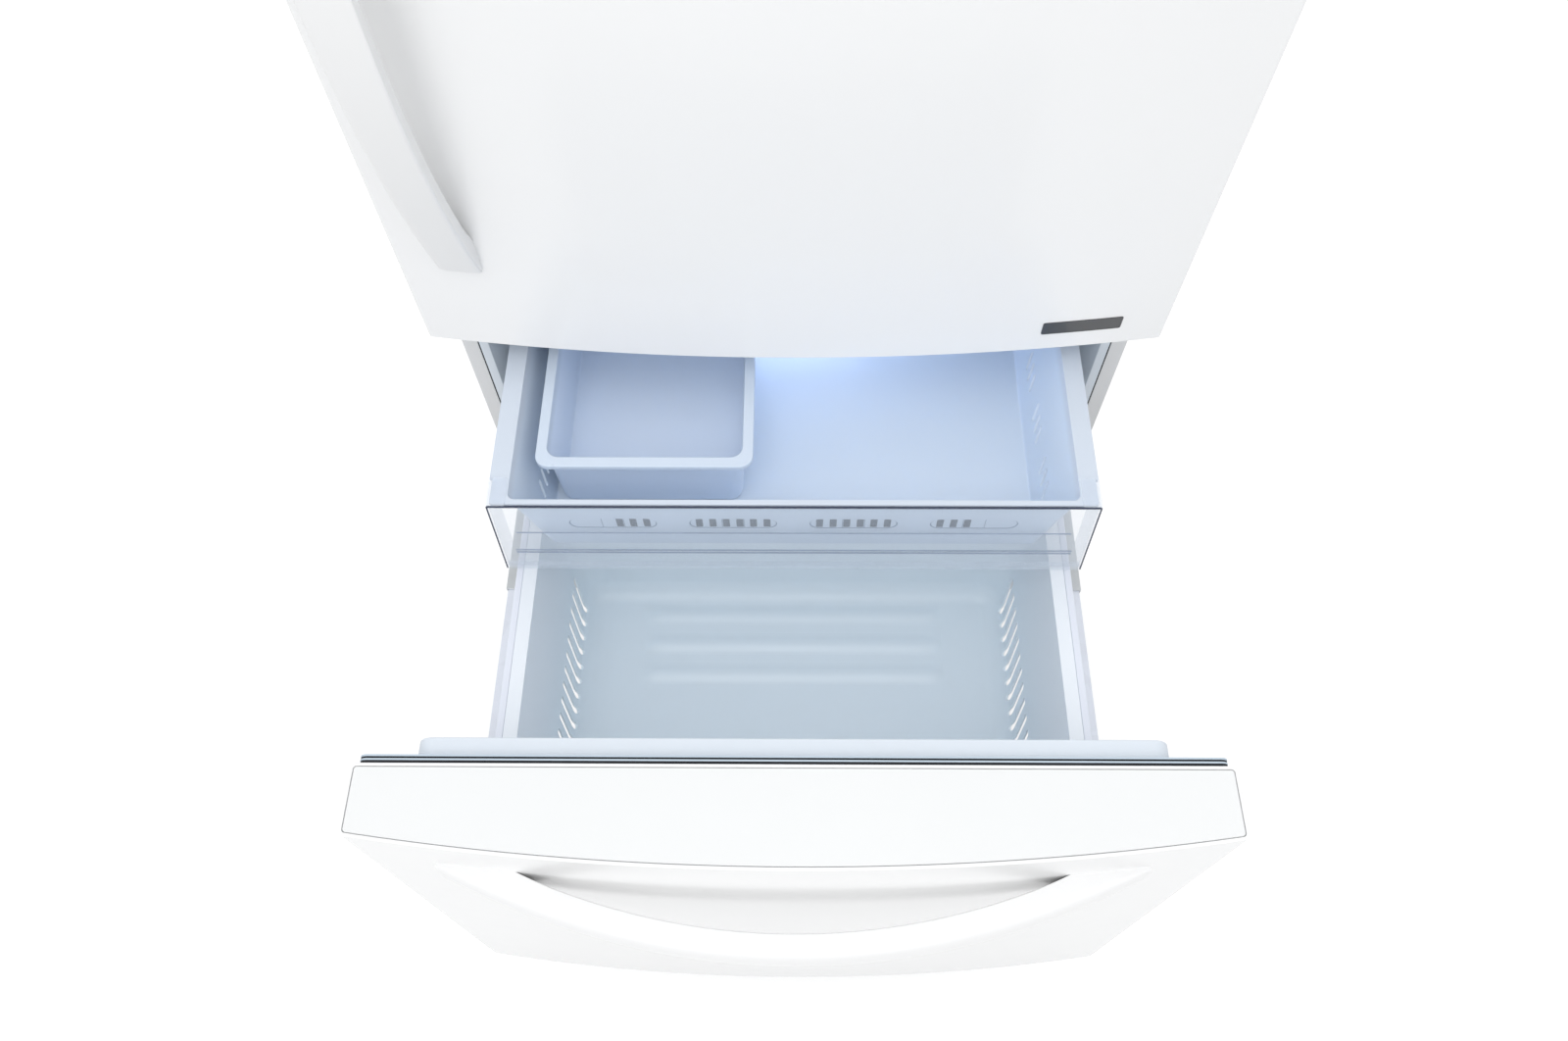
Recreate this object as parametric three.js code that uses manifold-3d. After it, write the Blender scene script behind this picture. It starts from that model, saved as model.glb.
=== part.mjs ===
// A bottom freezer refrigerator, with its freezer drawer and the small drawer above it pulled out.
// Millimetres. x runs right, y into the refrigerator, z up from the floor.
// Inside the group, y = 0 is the plane of the doors' front side edges, and both drawers are drawn shut,
// then moved out by their own groups.
import * as THREE from "three";
import { mergeVertices } from "three/addons/utils/BufferGeometryUtils.js";
import Module from "manifold-3d";

const wasm = await Module();
wasm.setup();

// ---- Driving sizes -------------------------------------------------------------------------------

// The whole case
const WIDTH = 832; // across the doors and the cabinet
const CASE_TOP = 1737; // top of the cabinet above the floor
const CASE_DEPTH = 733; // front flange to the rear panel's outside
const CASE_BOTTOM = 30; // lower edge of the cabinet's sides
const SHEET = 1.2; // painted steel sheet
const FLANGE = 19; // the cabinet's front flange
const PLASTIC = 2.5; // wall of the moulded liners
const SIDE_WALL = 44; // cabinet wall, outside to cavity
const BACK_WALL = 60; // rear panel to cavity
const LINER_LIP = 12; // how far a liner's front lip stands into its opening
const FIT = 0.3; // gap between pieces that touch
const RUN = 4; // clearance round a piece that slides

// Doors
const DOOR_EDGE = 69; // a door's thickness at its side edges
const BOW = 30; // how far a door's front bulges at the middle
const SEAL_GAP = 8; // door to cabinet, filled by the gasket
const DRAWER_BOTTOM = 66; // lower edge of the freezer drawer's front
const DRAWER_TOP = 706; // its top edge
const DOOR_GAP = 10; // freezer drawer to fridge door
const DOOR_DROP = 4; // fridge door's top below the cabinet's
const END_CAP = 14; // thickness of the plastic end caps
const SEAL_WIDTH = 10; // width of the gasket
const SEAL_INSET_X = 6; // gasket's outer edge in from the door's side
const HINGE_INSET = 12; // hinge axis in from the door's side
const HINGE_DEPTH = 30; // hinge axis behind the door's front edge
const PIN_RADIUS = 5;
const PIN_CLEARANCE = 0.4;

// Compartments
const TOP_WALL = 47; // cabinet's top down to the fridge's ceiling
const FREEZER_SILL = 74; // drawer front's lower edge up to the freezer's floor
const CEILING_DROP = 12; // drawer front's top edge down to the freezer's ceiling
const DIVIDER = 54; // freezer's ceiling up to the fridge's floor
const MACHINE_TOP = 330;
const STEP_WALL = 48; // machine compartment's top up to the step in the freezer's floor
const STEP_DEPTH = 298; // that step's front to the rear panel
const COOLER_SPACE = 110; // depth behind the freezer's rear panel, for the evaporator

// Freezer drawer
const DRAWER_OUT = 564; // its travel, all of it out in the photographed pose
const PLATEAU_INSET = 53; // raised middle of the drawer's inner liner, in from the door's side
const PLATEAU_RISE = 10; // its lower edge over the freezer's floor
const PLATEAU_DEPTH = 30;
const BASKET_INSET = 37; // basket's rim in from the raised middle's side
const BASKET_RIM = 21;
const BASKET_RIM_THICK = 8;
const BASKET_DROP = 43; // basket's top under the upper drawer's floor
const BASKET_HEIGHT = 262;
const BASKET_GAP = 14.7; // basket's back to the step in the freezer's floor
const BASKET_DRAFT = 15; // how far a side wall leans in from rim to floor
const BASKET_SLOTS = 14; // upright slots in each side wall
const BASKET_SLOT_SIZE = { width: 7, length: 66 };
const BASKET_SLOT_PITCH = 21.2;
const BASKET_SLOT_START = 72; // first slot behind the basket's front
const BASKET_SLOT_RISE = 50; // middle of the slots over the basket's floor
const RAIL_HEIGHT = 42; // outer slide member
const RAIL_DROP = 152; // its lower edge under the basket's top
const RAIL_STEEL = 1.6;
const SUPPORT_WIDTH = 9.5; // strip beside the basket's rim, on the wall that carries it
const RAIL_WIDTH = 16;
const RAIL_GAP = 23; // its back end to the freezer's rear panel
const MIDDLE_RAIL_SHORTER = 30;
const INNER_RAIL_SHORTER = 40;

// Upper drawer
const UPPER_SHARE = 0.55; // the upper drawer's travel over the freezer drawer's
const UPPER_INSET = 39; // outer edge of its rim in from the cavity's side
const UPPER_RIM = 22;
const UPPER_RIM_THICK = 6;
const UPPER_DROP = 12; // its top under the freezer's ceiling
const UPPER_HEIGHT = 107;
const UPPER_LENGTH = 448;
const UPPER_DRAFT = 30;
const UPPER_END_RIM = 6; // rim and lean of its front and back walls
const UPPER_END_DRAFT = 5;
const COVER_LEAD = 7; // clear front cover's face behind the drawer's liner
const COVER_SPREAD = 7; // its foot is wider by this on each side than the drawer's rim
const COVER_LEAN = 7; // narrower by this at the top on each side
const COVER_WALL = 3;
const COVER_RETURN = 36; // how far it wraps back along the sides
const COVER_FOOT_DEPTH = 12; // how far its foot turns in
const VENT_BANKS = 4; // banks of air holes in the front wall
const VENT_MARGIN = 22; // of the front wall's flat, left over beside the banks
const VENT_PITCH = 15.2;
const VENT_HALF = { width: 3, height: 10 };
const STROKE_GROUPS = 5; // groups of three slanted slots in each side wall
const STROKE_START = 78; // middle of the first group behind the front wall
const STROKE_SPACING = 76; // from group to group
const STROKE_PITCH = 16.5; // from slot to slot
const STROKE_RISE = 37; // their middle above the drawer's underside
const STROKE_SIZE = { width: 4, length: 18 };
const STROKE_LEAN = (33 * Math.PI) / 180; // their tops lean back by this

// Ice bin
const BIN_SIDE = 45; // its left edge in from the upper drawer's rim
const BIN_WIDTH = 243;
const BIN_LENGTH = 290;
const BIN_DROP = 6; // its top under the upper drawer's
const BIN_SETBACK = 55; // behind the clear cover's face
const BIN_RIM = 12;

// Handles
const DRAWER_HANDLE_INSET = 75; // its ends in from the door's sides
const DRAWER_HANDLE_DROP = 64; // its upper edge under the door's top
const HANDLE_BAND = 50; // band width of both handles
const HANDLE_THICK = 25;
const DRAWER_HANDLE_REACH = 72; // outermost point in front of the door's face
const DRAWER_HANDLE_ROOT = 5; // how far its ends stand off the face
const DOOR_HANDLE_INSET = 71; // its middle in from the door's side
const DOOR_HANDLE_RISE = 127; // its lower end over the door's lower edge
const DOOR_HANDLE_LENGTH = 724;
const DOOR_HANDLE_REACH = 75;
const DOOR_HANDLE_ROOT = 9;

// Label plate on the fridge door, left bare
const PLATE_INSET = 98; // its middle in from the door's side
const PLATE_WIDTH = 89;
const PLATE_HEIGHT = 19;
const PLATE_RISE = 37; // its middle over the door's lower edge
const PLATE_THICK = 1;

// Fridge compartment
const SHELF_GLASS = 4;
const SHELF_FRAME = 14;
const SHELF_SETBACK = 158; // front edge of the shelves behind the cabinet's front
const SHELF_DROPS = [510, 280]; // the shelves under the fridge's ceiling
const CRISPER_HEIGHT = 214; // crisper cover's underside over the fridge's floor
const CRISPER_LEAD = 20; // the crispers' front before the shelves'
const CRISPER_LENGTH = 340;
const CRISPER_PULL_HALF = 70; // half width of a crisper's grip
const CRISPER_WALL = 2.5;
const LOWER_BIN_RISE = 82; // lower door bin over the fridge's floor
const MIDDLE_BIN_DROP = 540; // middle door bin's floor under the fridge's ceiling
const DOOR_BIN_HEIGHT = 120;
const DOOR_BIN_DEPTH = 108;
const DAIRY_DROP = 250; // dairy box's floor under the fridge's ceiling
const DAIRY_HEIGHT = 100;
const DAIRY_LID = 3;
const DYKE = 34; // rim of the door's inner liner

const DUCT_HALF = 105; // air duct up the back wall
const DUCT_DEPTH = 48;
const CONTROL_HALF = 150; // control panel under the ceiling
const CONTROL_SETBACK = 30;
const CONTROL_DEPTH = 100;
const LAMP_HALF = 90;
const LAMP_DEPTH = 50;
const LAMP_SETBACK = 100;

// Machine compartment and feet
const LEG_INSET = 66;
const LEG_SETBACK = 41; // behind the cabinet's front
const LEG_FOOT = 22;
const ROLLER_INSET = 56;
const ROLLER_FORWARD = 68; // before the rear panel
const ROLLER_RADIUS = 20;
const ROLLER_WIDTH = 18;
const BASE_PLATE = 3;
const BASE_Z = 36;
const FAN_BLADES = 5;
const FAN_DEPTH = 16; // length of a fan's hub
const AXLE_RADIUS = 3;
const FAN_FORWARD = 110; // condenser fan before the rear panel
const COMPRESSOR_INSET = 166;
const COMPRESSOR_FORWARD = 118;
const COMPRESSOR_RADIUS = 78;
const COMPRESSOR_HEIGHT = 170;
const COMPRESSOR_FEET = [96, 70]; // half width and half depth of its foot plate
const CONDENSER_HALF = 85;
const CONDENSER_DEPTH = 60;
const CONDENSER_FORWARD = 210; // its front before the rear panel
const CONDENSER_Z = [70, 250];
const EVAPORATOR_INSET = 132; // its ends in from the cavity's sides
const EVAPORATOR_RISE = 32; // over the step in the freezer's floor
const EVAPORATOR_HEIGHT = 150;
const EVAPORATOR_DEPTH = 60;
const EVAPORATOR_GAP = 22; // behind the freezer's rear panel
const EVAPORATOR_SIDE = 20; // its side plates, in from its ends
const EVAPORATOR_FIN_INSET = 30; // its outer fins, in from its ends
const HINGE_COVER_HEIGHT = 35; // over the cabinet's top
const HINGE_PLATE = 66; // the hinges' plates, in from the axis
const HINGE_PLATE_BACK = 70; // the top hinge's plate, behind the cabinet's front
const INLET_INSET = 86;
const INLET_Z = 92;
const INLET_HALF = 17;
const INLET_DEPTH = 26;
const CORD_HOLE = 6;
const CORD_STOP = 4; // plastic left behind the cord's hole

// ---- Worked out from them ---------------------------------------------------------------------------

const HALF = WIDTH / 2;
const FRONT_Y = DOOR_EDGE + SEAL_GAP; // the cabinet's front plane
const BACK_Y = FRONT_Y + CASE_DEPTH;
const CAVITY_HALF = HALF - SIDE_WALL;
const CAVITY_BACK = BACK_Y - BACK_WALL;
const DOOR_BOTTOM = DRAWER_TOP + DOOR_GAP;
const DOOR_TOP = CASE_TOP - DOOR_DROP;
const FREEZER_FLOOR = DRAWER_BOTTOM + FREEZER_SILL;
const FREEZER_CEILING = DRAWER_TOP - CEILING_DROP;
const FRIDGE_FLOOR = FREEZER_CEILING + DIVIDER;
const FRIDGE_CEILING = CASE_TOP - TOP_WALL;
const STEP_FRONT = BACK_Y - STEP_DEPTH;
const STEP_TOP = MACHINE_TOP + STEP_WALL;
const FREEZER_PANEL_Y = CAVITY_BACK - COOLER_SPACE;
const PLATEAU_HALF = HALF - PLATEAU_INSET;
const PLATEAU_TOP = FREEZER_CEILING - RUN;
const PLATEAU_BOTTOM = FREEZER_FLOOR + PLATEAU_RISE;
const UPPER_HALF = CAVITY_HALF - UPPER_INSET;
const UPPER_TOP = FREEZER_CEILING - UPPER_DROP;
const UPPER_FLOOR = UPPER_TOP - UPPER_HEIGHT;
const BASKET_HALF = PLATEAU_HALF - BASKET_INSET;
const BASKET_TOP = UPPER_FLOOR - BASKET_DROP;
const BASKET_FLOOR = BASKET_TOP - BASKET_HEIGHT;
const COVER_HALF = UPPER_HALF + COVER_SPREAD;
const COVER_FOOT = BASKET_TOP + RUN; // the clear cover passes over the basket
const CRISPER_TOP = FRIDGE_FLOOR + CRISPER_HEIGHT;
const SHELF_FRONT = FRONT_Y + SHELF_SETBACK;
const SHELF_Z = SHELF_DROPS.map((drop) => FRIDGE_CEILING - drop);
const DOOR_BIN_Z = [FRIDGE_FLOOR + LOWER_BIN_RISE, FRIDGE_CEILING - MIDDLE_BIN_DROP];
const DAIRY_Z = FRIDGE_CEILING - DAIRY_DROP;
const LEG_X = HALF - LEG_INSET;
const LEG_Y = FRONT_Y + LEG_SETBACK;
const ROLLER_X = HALF - ROLLER_INSET;
const ROLLER_Y = BACK_Y - ROLLER_FORWARD;
const INLET_X = HALF - INLET_INSET;
const UPPER_OUT = DRAWER_OUT * UPPER_SHARE;
const MIDDLE_OUT = DRAWER_OUT / 2;
const PLATEAU_REAR = DOOR_EDGE + PLATEAU_DEPTH;
const FRONT_MOST = -(DRAWER_OUT + BOW + DRAWER_HANDLE_REACH);
const CENTRE_Y = (FRONT_MOST + BACK_Y) / 2; // the part's origin is under this point
const HINGE_X = HALF - HINGE_INSET;

// ---- Finishes ----------------------------------------------------------------------------------------

const finish = (colour, roughness, metalness = 0) =>
  new THREE.MeshStandardMaterial({ color: colour, roughness, metalness });
const white = finish("#f8f8f8", 0.22);
const shell = finish("#e8e8e8", 0.4);
const liner = finish("#dfe7ec", 0.45);
const tub = finish("#cfdde9", 0.4);
const glass = finish("#c9d3de", 0.08);
const smoke = finish("#bcc6dc", 0.1);
const seal = finish("#8c97a4", 0.7);
const galvanised = finish("#b4b8bb", 0.35, 1);
const black = finish("#26282b", 0.5);
const copper = finish("#b87a52", 0.35, 1);
const foam = finish("#e5dcae", 0.9);
const lamp = finish("#f2f6ff", 0.3);
const casting = finish("#1f2124", 0.45, 0.6);

// ---- Making solids -----------------------------------------------------------------------------------

// A closed geometry as a solid that can be joined and cut.
function solid(geometry) {
  const bare = geometry.clone();
  bare.deleteAttribute("normal");
  bare.deleteAttribute("uv");
  const merged = mergeVertices(bare, 1e-4);
  const made = new wasm.Manifold(
    new wasm.Mesh({
      numProp: 3,
      vertProperties: new Float32Array(merged.attributes.position.array),
      triVerts: new Uint32Array(merged.index.array),
    }),
  );
  return made;
}

// A box between two corners, given in any order.
function block([ax, ay, az], [bx, by, bz]) {
  const size = [Math.abs(bx - ax), Math.abs(by - ay), Math.abs(bz - az)];
  const box = new THREE.BoxGeometry(...size);
  return solid(box.translate((ax + bx) / 2, (ay + by) / 2, (az + bz) / 2));
}

// A cylinder round an axis through a point, centred on it.
function rod(axis, [x, y, z], radius, length, sides = 24) {
  const bar = new THREE.CylinderGeometry(radius, radius, length, sides);
  if (axis === "z") bar.rotateX(Math.PI / 2);
  if (axis === "x") bar.rotateZ(Math.PI / 2);
  return solid(bar.translate(x, y, z));
}

// A body through rings of points, closed by a cap at each end.
function loft(rings) {
  const count = rings[0].length;
  const points = rings.flat().flatMap((p) => [p.x, p.y, p.z]);
  const faces = [];
  for (let i = 0; i + 1 < rings.length; i += 1) {
    for (let j = 0; j < count; j += 1) {
      const a = i * count + j;
      const b = i * count + ((j + 1) % count);
      faces.push(a, b, b + count, a, b + count, a + count);
    }
  }
  const last = (rings.length - 1) * count;
  for (let j = 1; j + 1 < count; j += 1) {
    faces.push(0, j + 1, j);
    faces.push(last, last + j, last + j + 1);
  }
  const geometry = new THREE.BufferGeometry();
  geometry.setAttribute("position", new THREE.Float32BufferAttribute(points, 3));
  geometry.setIndex(faces);
  if (solid(geometry).volume() > 0) return solid(geometry);
  const turned = faces.map((_, i) => faces[i - (i % 3) + (2 - (i % 3))]);
  return solid(geometry.setIndex(turned));
}

// Corner points of a rectangle with round corners, in one plane of constant z.
function roundRing(x0, x1, y0, y1, z, radius, steps = 5) {
  const centres = [
    [x1 - radius, y1 - radius],
    [x0 + radius, y1 - radius],
    [x0 + radius, y0 + radius],
    [x1 - radius, y0 + radius],
  ];
  return centres.flatMap(([cx, cy], quarter) =>
    Array.from({ length: steps + 1 }, (_, i) => {
      const angle = ((quarter + i / steps) * Math.PI) / 2;
      return new THREE.Vector3(cx + radius * Math.cos(angle), cy + radius * Math.sin(angle), z);
    }),
  );
}

// A round-cornered box that leans out by draft from its foot to its top.
function leaningBox({ x0, x1, y0, y1, z0, z1, draft = 0, draftY = draft, radius }) {
  return loft([
    roundRing(x0 + draft, x1 - draft, y0 + draftY, y1 - draftY, z0, Math.max(radius - draft, 3)),
    roundRing(x0, x1, y0, y1, z1, radius),
  ]);
}

// An open tray: a leaning tub, its hollow, and a flat rim that stands out round its mouth.
function tray({
  x0, x1, y0, y1, z0, z1, draft, wall, rim, radius = 24, rimThick = 6, draftY = draft, rimY = rim,
}) {
  const outer = { x0: x0 + rim, x1: x1 - rim, y0: y0 + rimY, y1: y1 - rimY };
  const body = leaningBox({ ...outer, z0, z1, draft, draftY, radius });
  const flange = leaningBox({ x0, x1, y0, y1, z0: z1 - rimThick, z1, radius });
  const slope = draft / (z1 - z0);
  const slopeY = draftY / (z1 - z0);
  const inner = {
    x0: outer.x0 + wall,
    x1: outer.x1 - wall,
    y0: outer.y0 + wall,
    y1: outer.y1 - wall,
  };
  const spare = 2; // the cutter runs out past the mouth
  const hollow = loft([
    roundRing(
      inner.x0 + draft - slope * wall,
      inner.x1 - draft + slope * wall,
      inner.y0 + draftY - slopeY * wall,
      inner.y1 - draftY + slopeY * wall,
      z0 + wall,
      Math.max(radius - draft - wall, 3),
    ),
    roundRing(
      inner.x0 - slope * spare,
      inner.x1 + slope * spare,
      inner.y0 - slopeY * spare,
      inner.y1 + slopeY * spare,
      z1 + spare,
      Math.max(radius - wall, 3),
    ),
  ]);
  return body.add(flange).subtract(hollow);
}

// How far a door's front bulges at x: an arc of one circle through both side edges.
const BOW_RADIUS = (HALF * HALF + BOW * BOW) / (2 * BOW);
function bowAt(x) {
  return Math.sqrt(BOW_RADIUS * BOW_RADIUS - x * x) - (BOW_RADIUS - BOW);
}

// A slab with the bowed front, inset evenly from the door's outline.
function bowedSlab(z0, z1, inset, rear, steps = 20) {
  const half = HALF - inset;
  const outline = [new THREE.Vector2(half, rear), new THREE.Vector2(-half, rear)];
  for (let i = 0; i <= steps; i += 1) {
    const x = -half + (2 * half * i) / steps;
    outline.push(new THREE.Vector2(x, inset - bowAt(x)));
  }
  return loft([z0, z1].map((z) => outline.map((p) => new THREE.Vector3(p.x, p.y, z))));
}

// One named piece in its own group: its mesh sits at its own middle.
function add(group, name, material, body) {
  const mesh = body.getMesh();
  const geometry = new THREE.BufferGeometry();
  geometry.setAttribute("position", new THREE.Float32BufferAttribute(mesh.vertProperties, 3));
  geometry.setIndex([...mesh.triVerts]);
  geometry.computeBoundingBox();
  const middle = geometry.boundingBox.getCenter(new THREE.Vector3());
  geometry.translate(-middle.x, -middle.y, -middle.z);
  geometry.computeVertexNormals();
  const piece = new THREE.Mesh(geometry, material);
  piece.name = name;
  piece.position.copy(middle);
  group.add(piece);
  return piece;
}

const refrigerator = new THREE.Group();
const cabinet = new THREE.Group();
const fridgeDoor = new THREE.Group();
const freezerDrawer = new THREE.Group();
const middleSlides = new THREE.Group();
const upperDrawer = new THREE.Group();
freezerDrawer.position.y = -DRAWER_OUT;
middleSlides.position.y = -MIDDLE_OUT;
upperDrawer.position.y = -UPPER_OUT;
refrigerator.add(cabinet, fridgeDoor, freezerDrawer, middleSlides, upperDrawer);
refrigerator.position.y = -CENTRE_Y;

// ---- Cabinet -----------------------------------------------------------------------------------------

const REAR_SHEET = SHEET;
const SHELL_BACK = BACK_Y - REAR_SHEET - FIT;
const MULLION_LOW = FREEZER_CEILING + PLASTIC + FIT;
const MULLION_HIGH = FRIDGE_FLOOR - PLASTIC - FIT;
const LIP_HALF = HALF - FLANGE - FIT;
const LIP_BACK = FRONT_Y + PLASTIC;
const MULLION_DEPTH = 26;
const MACHINE_FRONT = STEP_FRONT + BACK_WALL;

function cabinetShell() {
  const body = block([-HALF, FRONT_Y, CASE_BOTTOM], [HALF, SHELL_BACK, CASE_TOP]);
  const hollow = block(
    [-HALF + SHEET, FRONT_Y + SHEET, CASE_BOTTOM - 1],
    [HALF - SHEET, SHELL_BACK + 1, CASE_TOP - SHEET],
  );
  const mouth = block(
    [-HALF + FLANGE, FRONT_Y - 1, CASE_BOTTOM - 1],
    [HALF - FLANGE, FRONT_Y + SHEET + 1, CASE_TOP - FLANGE],
  );
  return body.subtract(hollow).subtract(mouth);
}

// A compartment's moulded liner: walls round its hollow, and a lip that fills the flange's mouth.
function compartment(hollows, lipLow, lipHigh) {
  const grow = PLASTIC;
  let walls = null;
  for (const { y0, y1, z0, z1 } of hollows) {
    const outer = block(
      [-CAVITY_HALF - grow, Math.max(y0 - grow, FRONT_Y), z0 - grow],
      [CAVITY_HALF + grow, y1 + grow, z1 + grow],
    );
    walls = walls ? walls.add(outer) : outer;
  }
  walls = walls.add(block([-LIP_HALF, FRONT_Y, lipLow], [LIP_HALF, LIP_BACK, lipHigh]));
  for (const { y0, y1, z0, z1 } of hollows) {
    walls = walls.subtract(block([-CAVITY_HALF, y0 - 1, z0], [CAVITY_HALF, y1, z1]));
  }
  return walls;
}

const freezerHollows = [
  { y0: FRONT_Y, y1: STEP_FRONT, z0: FREEZER_FLOOR, z1: FREEZER_CEILING },
  { y0: FRONT_Y, y1: CAVITY_BACK, z0: STEP_TOP, z1: FREEZER_CEILING },
];
const fridgeHollows = [{ y0: FRONT_Y, y1: CAVITY_BACK, z0: FRIDGE_FLOOR, z1: FRIDGE_CEILING }];
const FREEZER_LIP_LOW = FREEZER_FLOOR - LINER_LIP;
const FRIDGE_LIP_HIGH = CASE_TOP - FLANGE - FIT;
const LEDGE_DEEP = 12;
const UPPER_FRONT = DOOR_EDGE + PLATEAU_DEPTH + COVER_LEAD; // the clear cover's face, drawer shut

// The ledges on the side walls carry the upper drawer's rim. They start behind its clear cover.
function freezerLiner() {
  let body = compartment(freezerHollows, FREEZER_LIP_LOW, FREEZER_CEILING + PLASTIC);
  const top = UPPER_TOP - UPPER_RIM_THICK - FIT;
  const reach = UPPER_HALF - UPPER_RIM + RUN;
  const front = UPPER_FRONT + COVER_RETURN + RUN;
  for (const side of [-1, 1]) {
    const ledge = block(
      [side * reach, front, top - LEDGE_DEEP],
      [side * (CAVITY_HALF + FIT), FREEZER_PANEL_Y - RUN, top],
    );
    body = body.add(ledge);
  }
  return body;
}

function cabinetFoam() {
  const gap = PLASTIC + FIT;
  let body = block(
    [-HALF + SHEET + FIT, LIP_BACK + FIT, FREEZER_LIP_LOW],
    [HALF - SHEET - FIT, SHELL_BACK, CASE_TOP - SHEET - FIT],
  );
  for (const { y0, y1, z0, z1 } of [...freezerHollows, ...fridgeHollows]) {
    const hole = block([-CAVITY_HALF - gap, y0 - 1, z0 - gap], [CAVITY_HALF + gap, y1 + gap, z1 + gap]);
    body = body.subtract(hole);
  }
  const machine = block([-HALF, MACHINE_FRONT, 0], [HALF, BACK_Y, MACHINE_TOP]);
  const mullion = block(
    [-LIP_HALF - FIT, FRONT_Y, MULLION_LOW - FIT],
    [LIP_HALF + FIT, FRONT_Y + MULLION_DEPTH + FIT, MULLION_HIGH + FIT],
  );
  return body.subtract(machine).subtract(mullion);
}

const TOE_TOP = FREEZER_LIP_LOW - FIT;
const BASE_HALF = HALF - SHEET - FIT;
const BASE_TOP = BASE_Z + BASE_PLATE;

// The steel base: a plate, side channels up to the foam, a front crossbar, and the rollers' brackets.
function baseFrame() {
  const front = FRONT_Y + SHEET + FIT;
  let body = block([-BASE_HALF, front, BASE_Z], [BASE_HALF, SHELL_BACK, BASE_TOP]);
  const channelWidth = 18;
  const bracket = 14; // half length of a roller's bracket
  const bracketLow = ROLLER_RADIUS / 2;
  for (const side of [-1, 1]) {
    body = body.add(
      block(
        [side * (BASE_HALF - channelWidth), front, BASE_Z],
        [side * BASE_HALF, MACHINE_FRONT - RUN, TOE_TOP],
      ),
    );
    for (const way of [-1, 1]) {
      const inner = side * ROLLER_X + way * (ROLLER_WIDTH / 2 + 1);
      body = body.add(
        block(
          [inner, ROLLER_Y - bracket, bracketLow],
          [inner + way * BASE_PLATE, ROLLER_Y + bracket, BASE_TOP],
        ),
      );
    }
    const pin = ROLLER_WIDTH + 2 + 2 * BASE_PLATE;
    body = body.add(rod("x", [side * ROLLER_X, ROLLER_Y, ROLLER_RADIUS], PIN_RADIUS, pin, 16));
    const well = ROLLER_RADIUS + 3;
    const wide = ROLLER_WIDTH / 2 + 0.6;
    body = body.subtract(
      block(
        [side * ROLLER_X - wide, ROLLER_Y - well, BASE_Z - 1],
        [side * ROLLER_X + wide, ROLLER_Y + well, BASE_TOP + 1],
      ),
    );
  }
  body = body.add(block([-BASE_HALF, front, BASE_Z], [BASE_HALF, front + BASE_PLATE, TOE_TOP]));
  body = body.add(condenserFanPost());
  for (const side of [-1, 1]) {
    const bore = PIN_RADIUS + PIN_CLEARANCE;
    body = body.subtract(rod("z", [side * LEG_X, LEG_Y, BASE_Z], bore, 4 * BASE_PLATE));
  }
  return body;
}

// The post on the base plate with the condenser fan's motor and axle.
const CONDENSER_FAN = { x: 45, y: BACK_Y - FAN_FORWARD, z: 160, radius: 62 };
function condenserFanPost() {
  const { x, y, z } = CONDENSER_FAN;
  const near = y + FAN_DEPTH / 2 + FIT;
  const motor = 20;
  const motorRadius = 14;
  const postThick = 6;
  return block(
    [x - motorRadius, near + motor - postThick, BASE_Z],
    [x + motorRadius, near + motor, z + motorRadius],
  )
    .add(rod("y", [x, near + motor / 2, z], motorRadius, motor, 20))
    .add(rod("y", [x, near + (motor - FAN_DEPTH) / 2, z], AXLE_RADIUS, motor + FAN_DEPTH, 12));
}

// A levelling leg: a round foot, a hexagon nut under the base plate and the screw through it.
function levellingLeg(side) {
  const foot = 10;
  const nut = 9;
  const screw = 30;
  const overPlate = 4; // middle of the screw over the base plate's underside
  const seat = BASE_Z - FIT;
  const weld = 0.02; // the pieces of the leg reach into one another by this
  return rod("z", [side * LEG_X, LEG_Y, foot / 2], LEG_FOOT, foot, 24)
    .add(rod("z", [side * LEG_X, LEG_Y, (foot + seat) / 2], nut, seat - foot + weld, 6))
    .add(rod("z", [side * LEG_X, LEG_Y, BASE_Z + overPlate], PIN_RADIUS, screw, 16));
}

function roller(side) {
  const wheel = rod("x", [side * ROLLER_X, ROLLER_Y, ROLLER_RADIUS], ROLLER_RADIUS, ROLLER_WIDTH, 32);
  const bore = PIN_RADIUS + PIN_CLEARANCE;
  return wheel.subtract(rod("x", [side * ROLLER_X, ROLLER_Y, ROLLER_RADIUS], bore, ROLLER_WIDTH + 2, 20));
}

// The toe grille under the freezer drawer: a plate with a row of air slots, hooked on the base's crossbar.
const GRILLE_TOP = DRAWER_BOTTOM - RUN;
const GRILLE_LOW = 15;
const GRILLE_FRONT = 24;
function baseGrille() {
  const face = 3;
  const half = HALF - RUN;
  let body = block([-half, GRILLE_FRONT, GRILLE_LOW], [half, GRILLE_FRONT + face, GRILLE_TOP]);
  for (const side of [-1, 1]) {
    const ear = side * (HALF - 30);
    body = body.add(
      block([ear, GRILLE_FRONT, GRILLE_LOW + 8], [ear - side * face, FRONT_Y + SHEET, GRILLE_TOP]),
    );
  }
  const slots = 14;
  const pitch = (WIDTH - 160) / slots;
  const slotHalf = pitch * 0.38;
  const slotHigh = 5;
  for (let i = 0; i < slots; i += 1) {
    const x = (i - (slots - 1) / 2) * pitch;
    for (const z of [GRILLE_LOW + 14, GRILLE_LOW + 28]) {
      body = body.subtract(
        block([x - slotHalf, GRILLE_FRONT - 1, z], [x + slotHalf, FRONT_Y / 2, z + slotHigh]),
      );
    }
  }
  return body;
}

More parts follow.
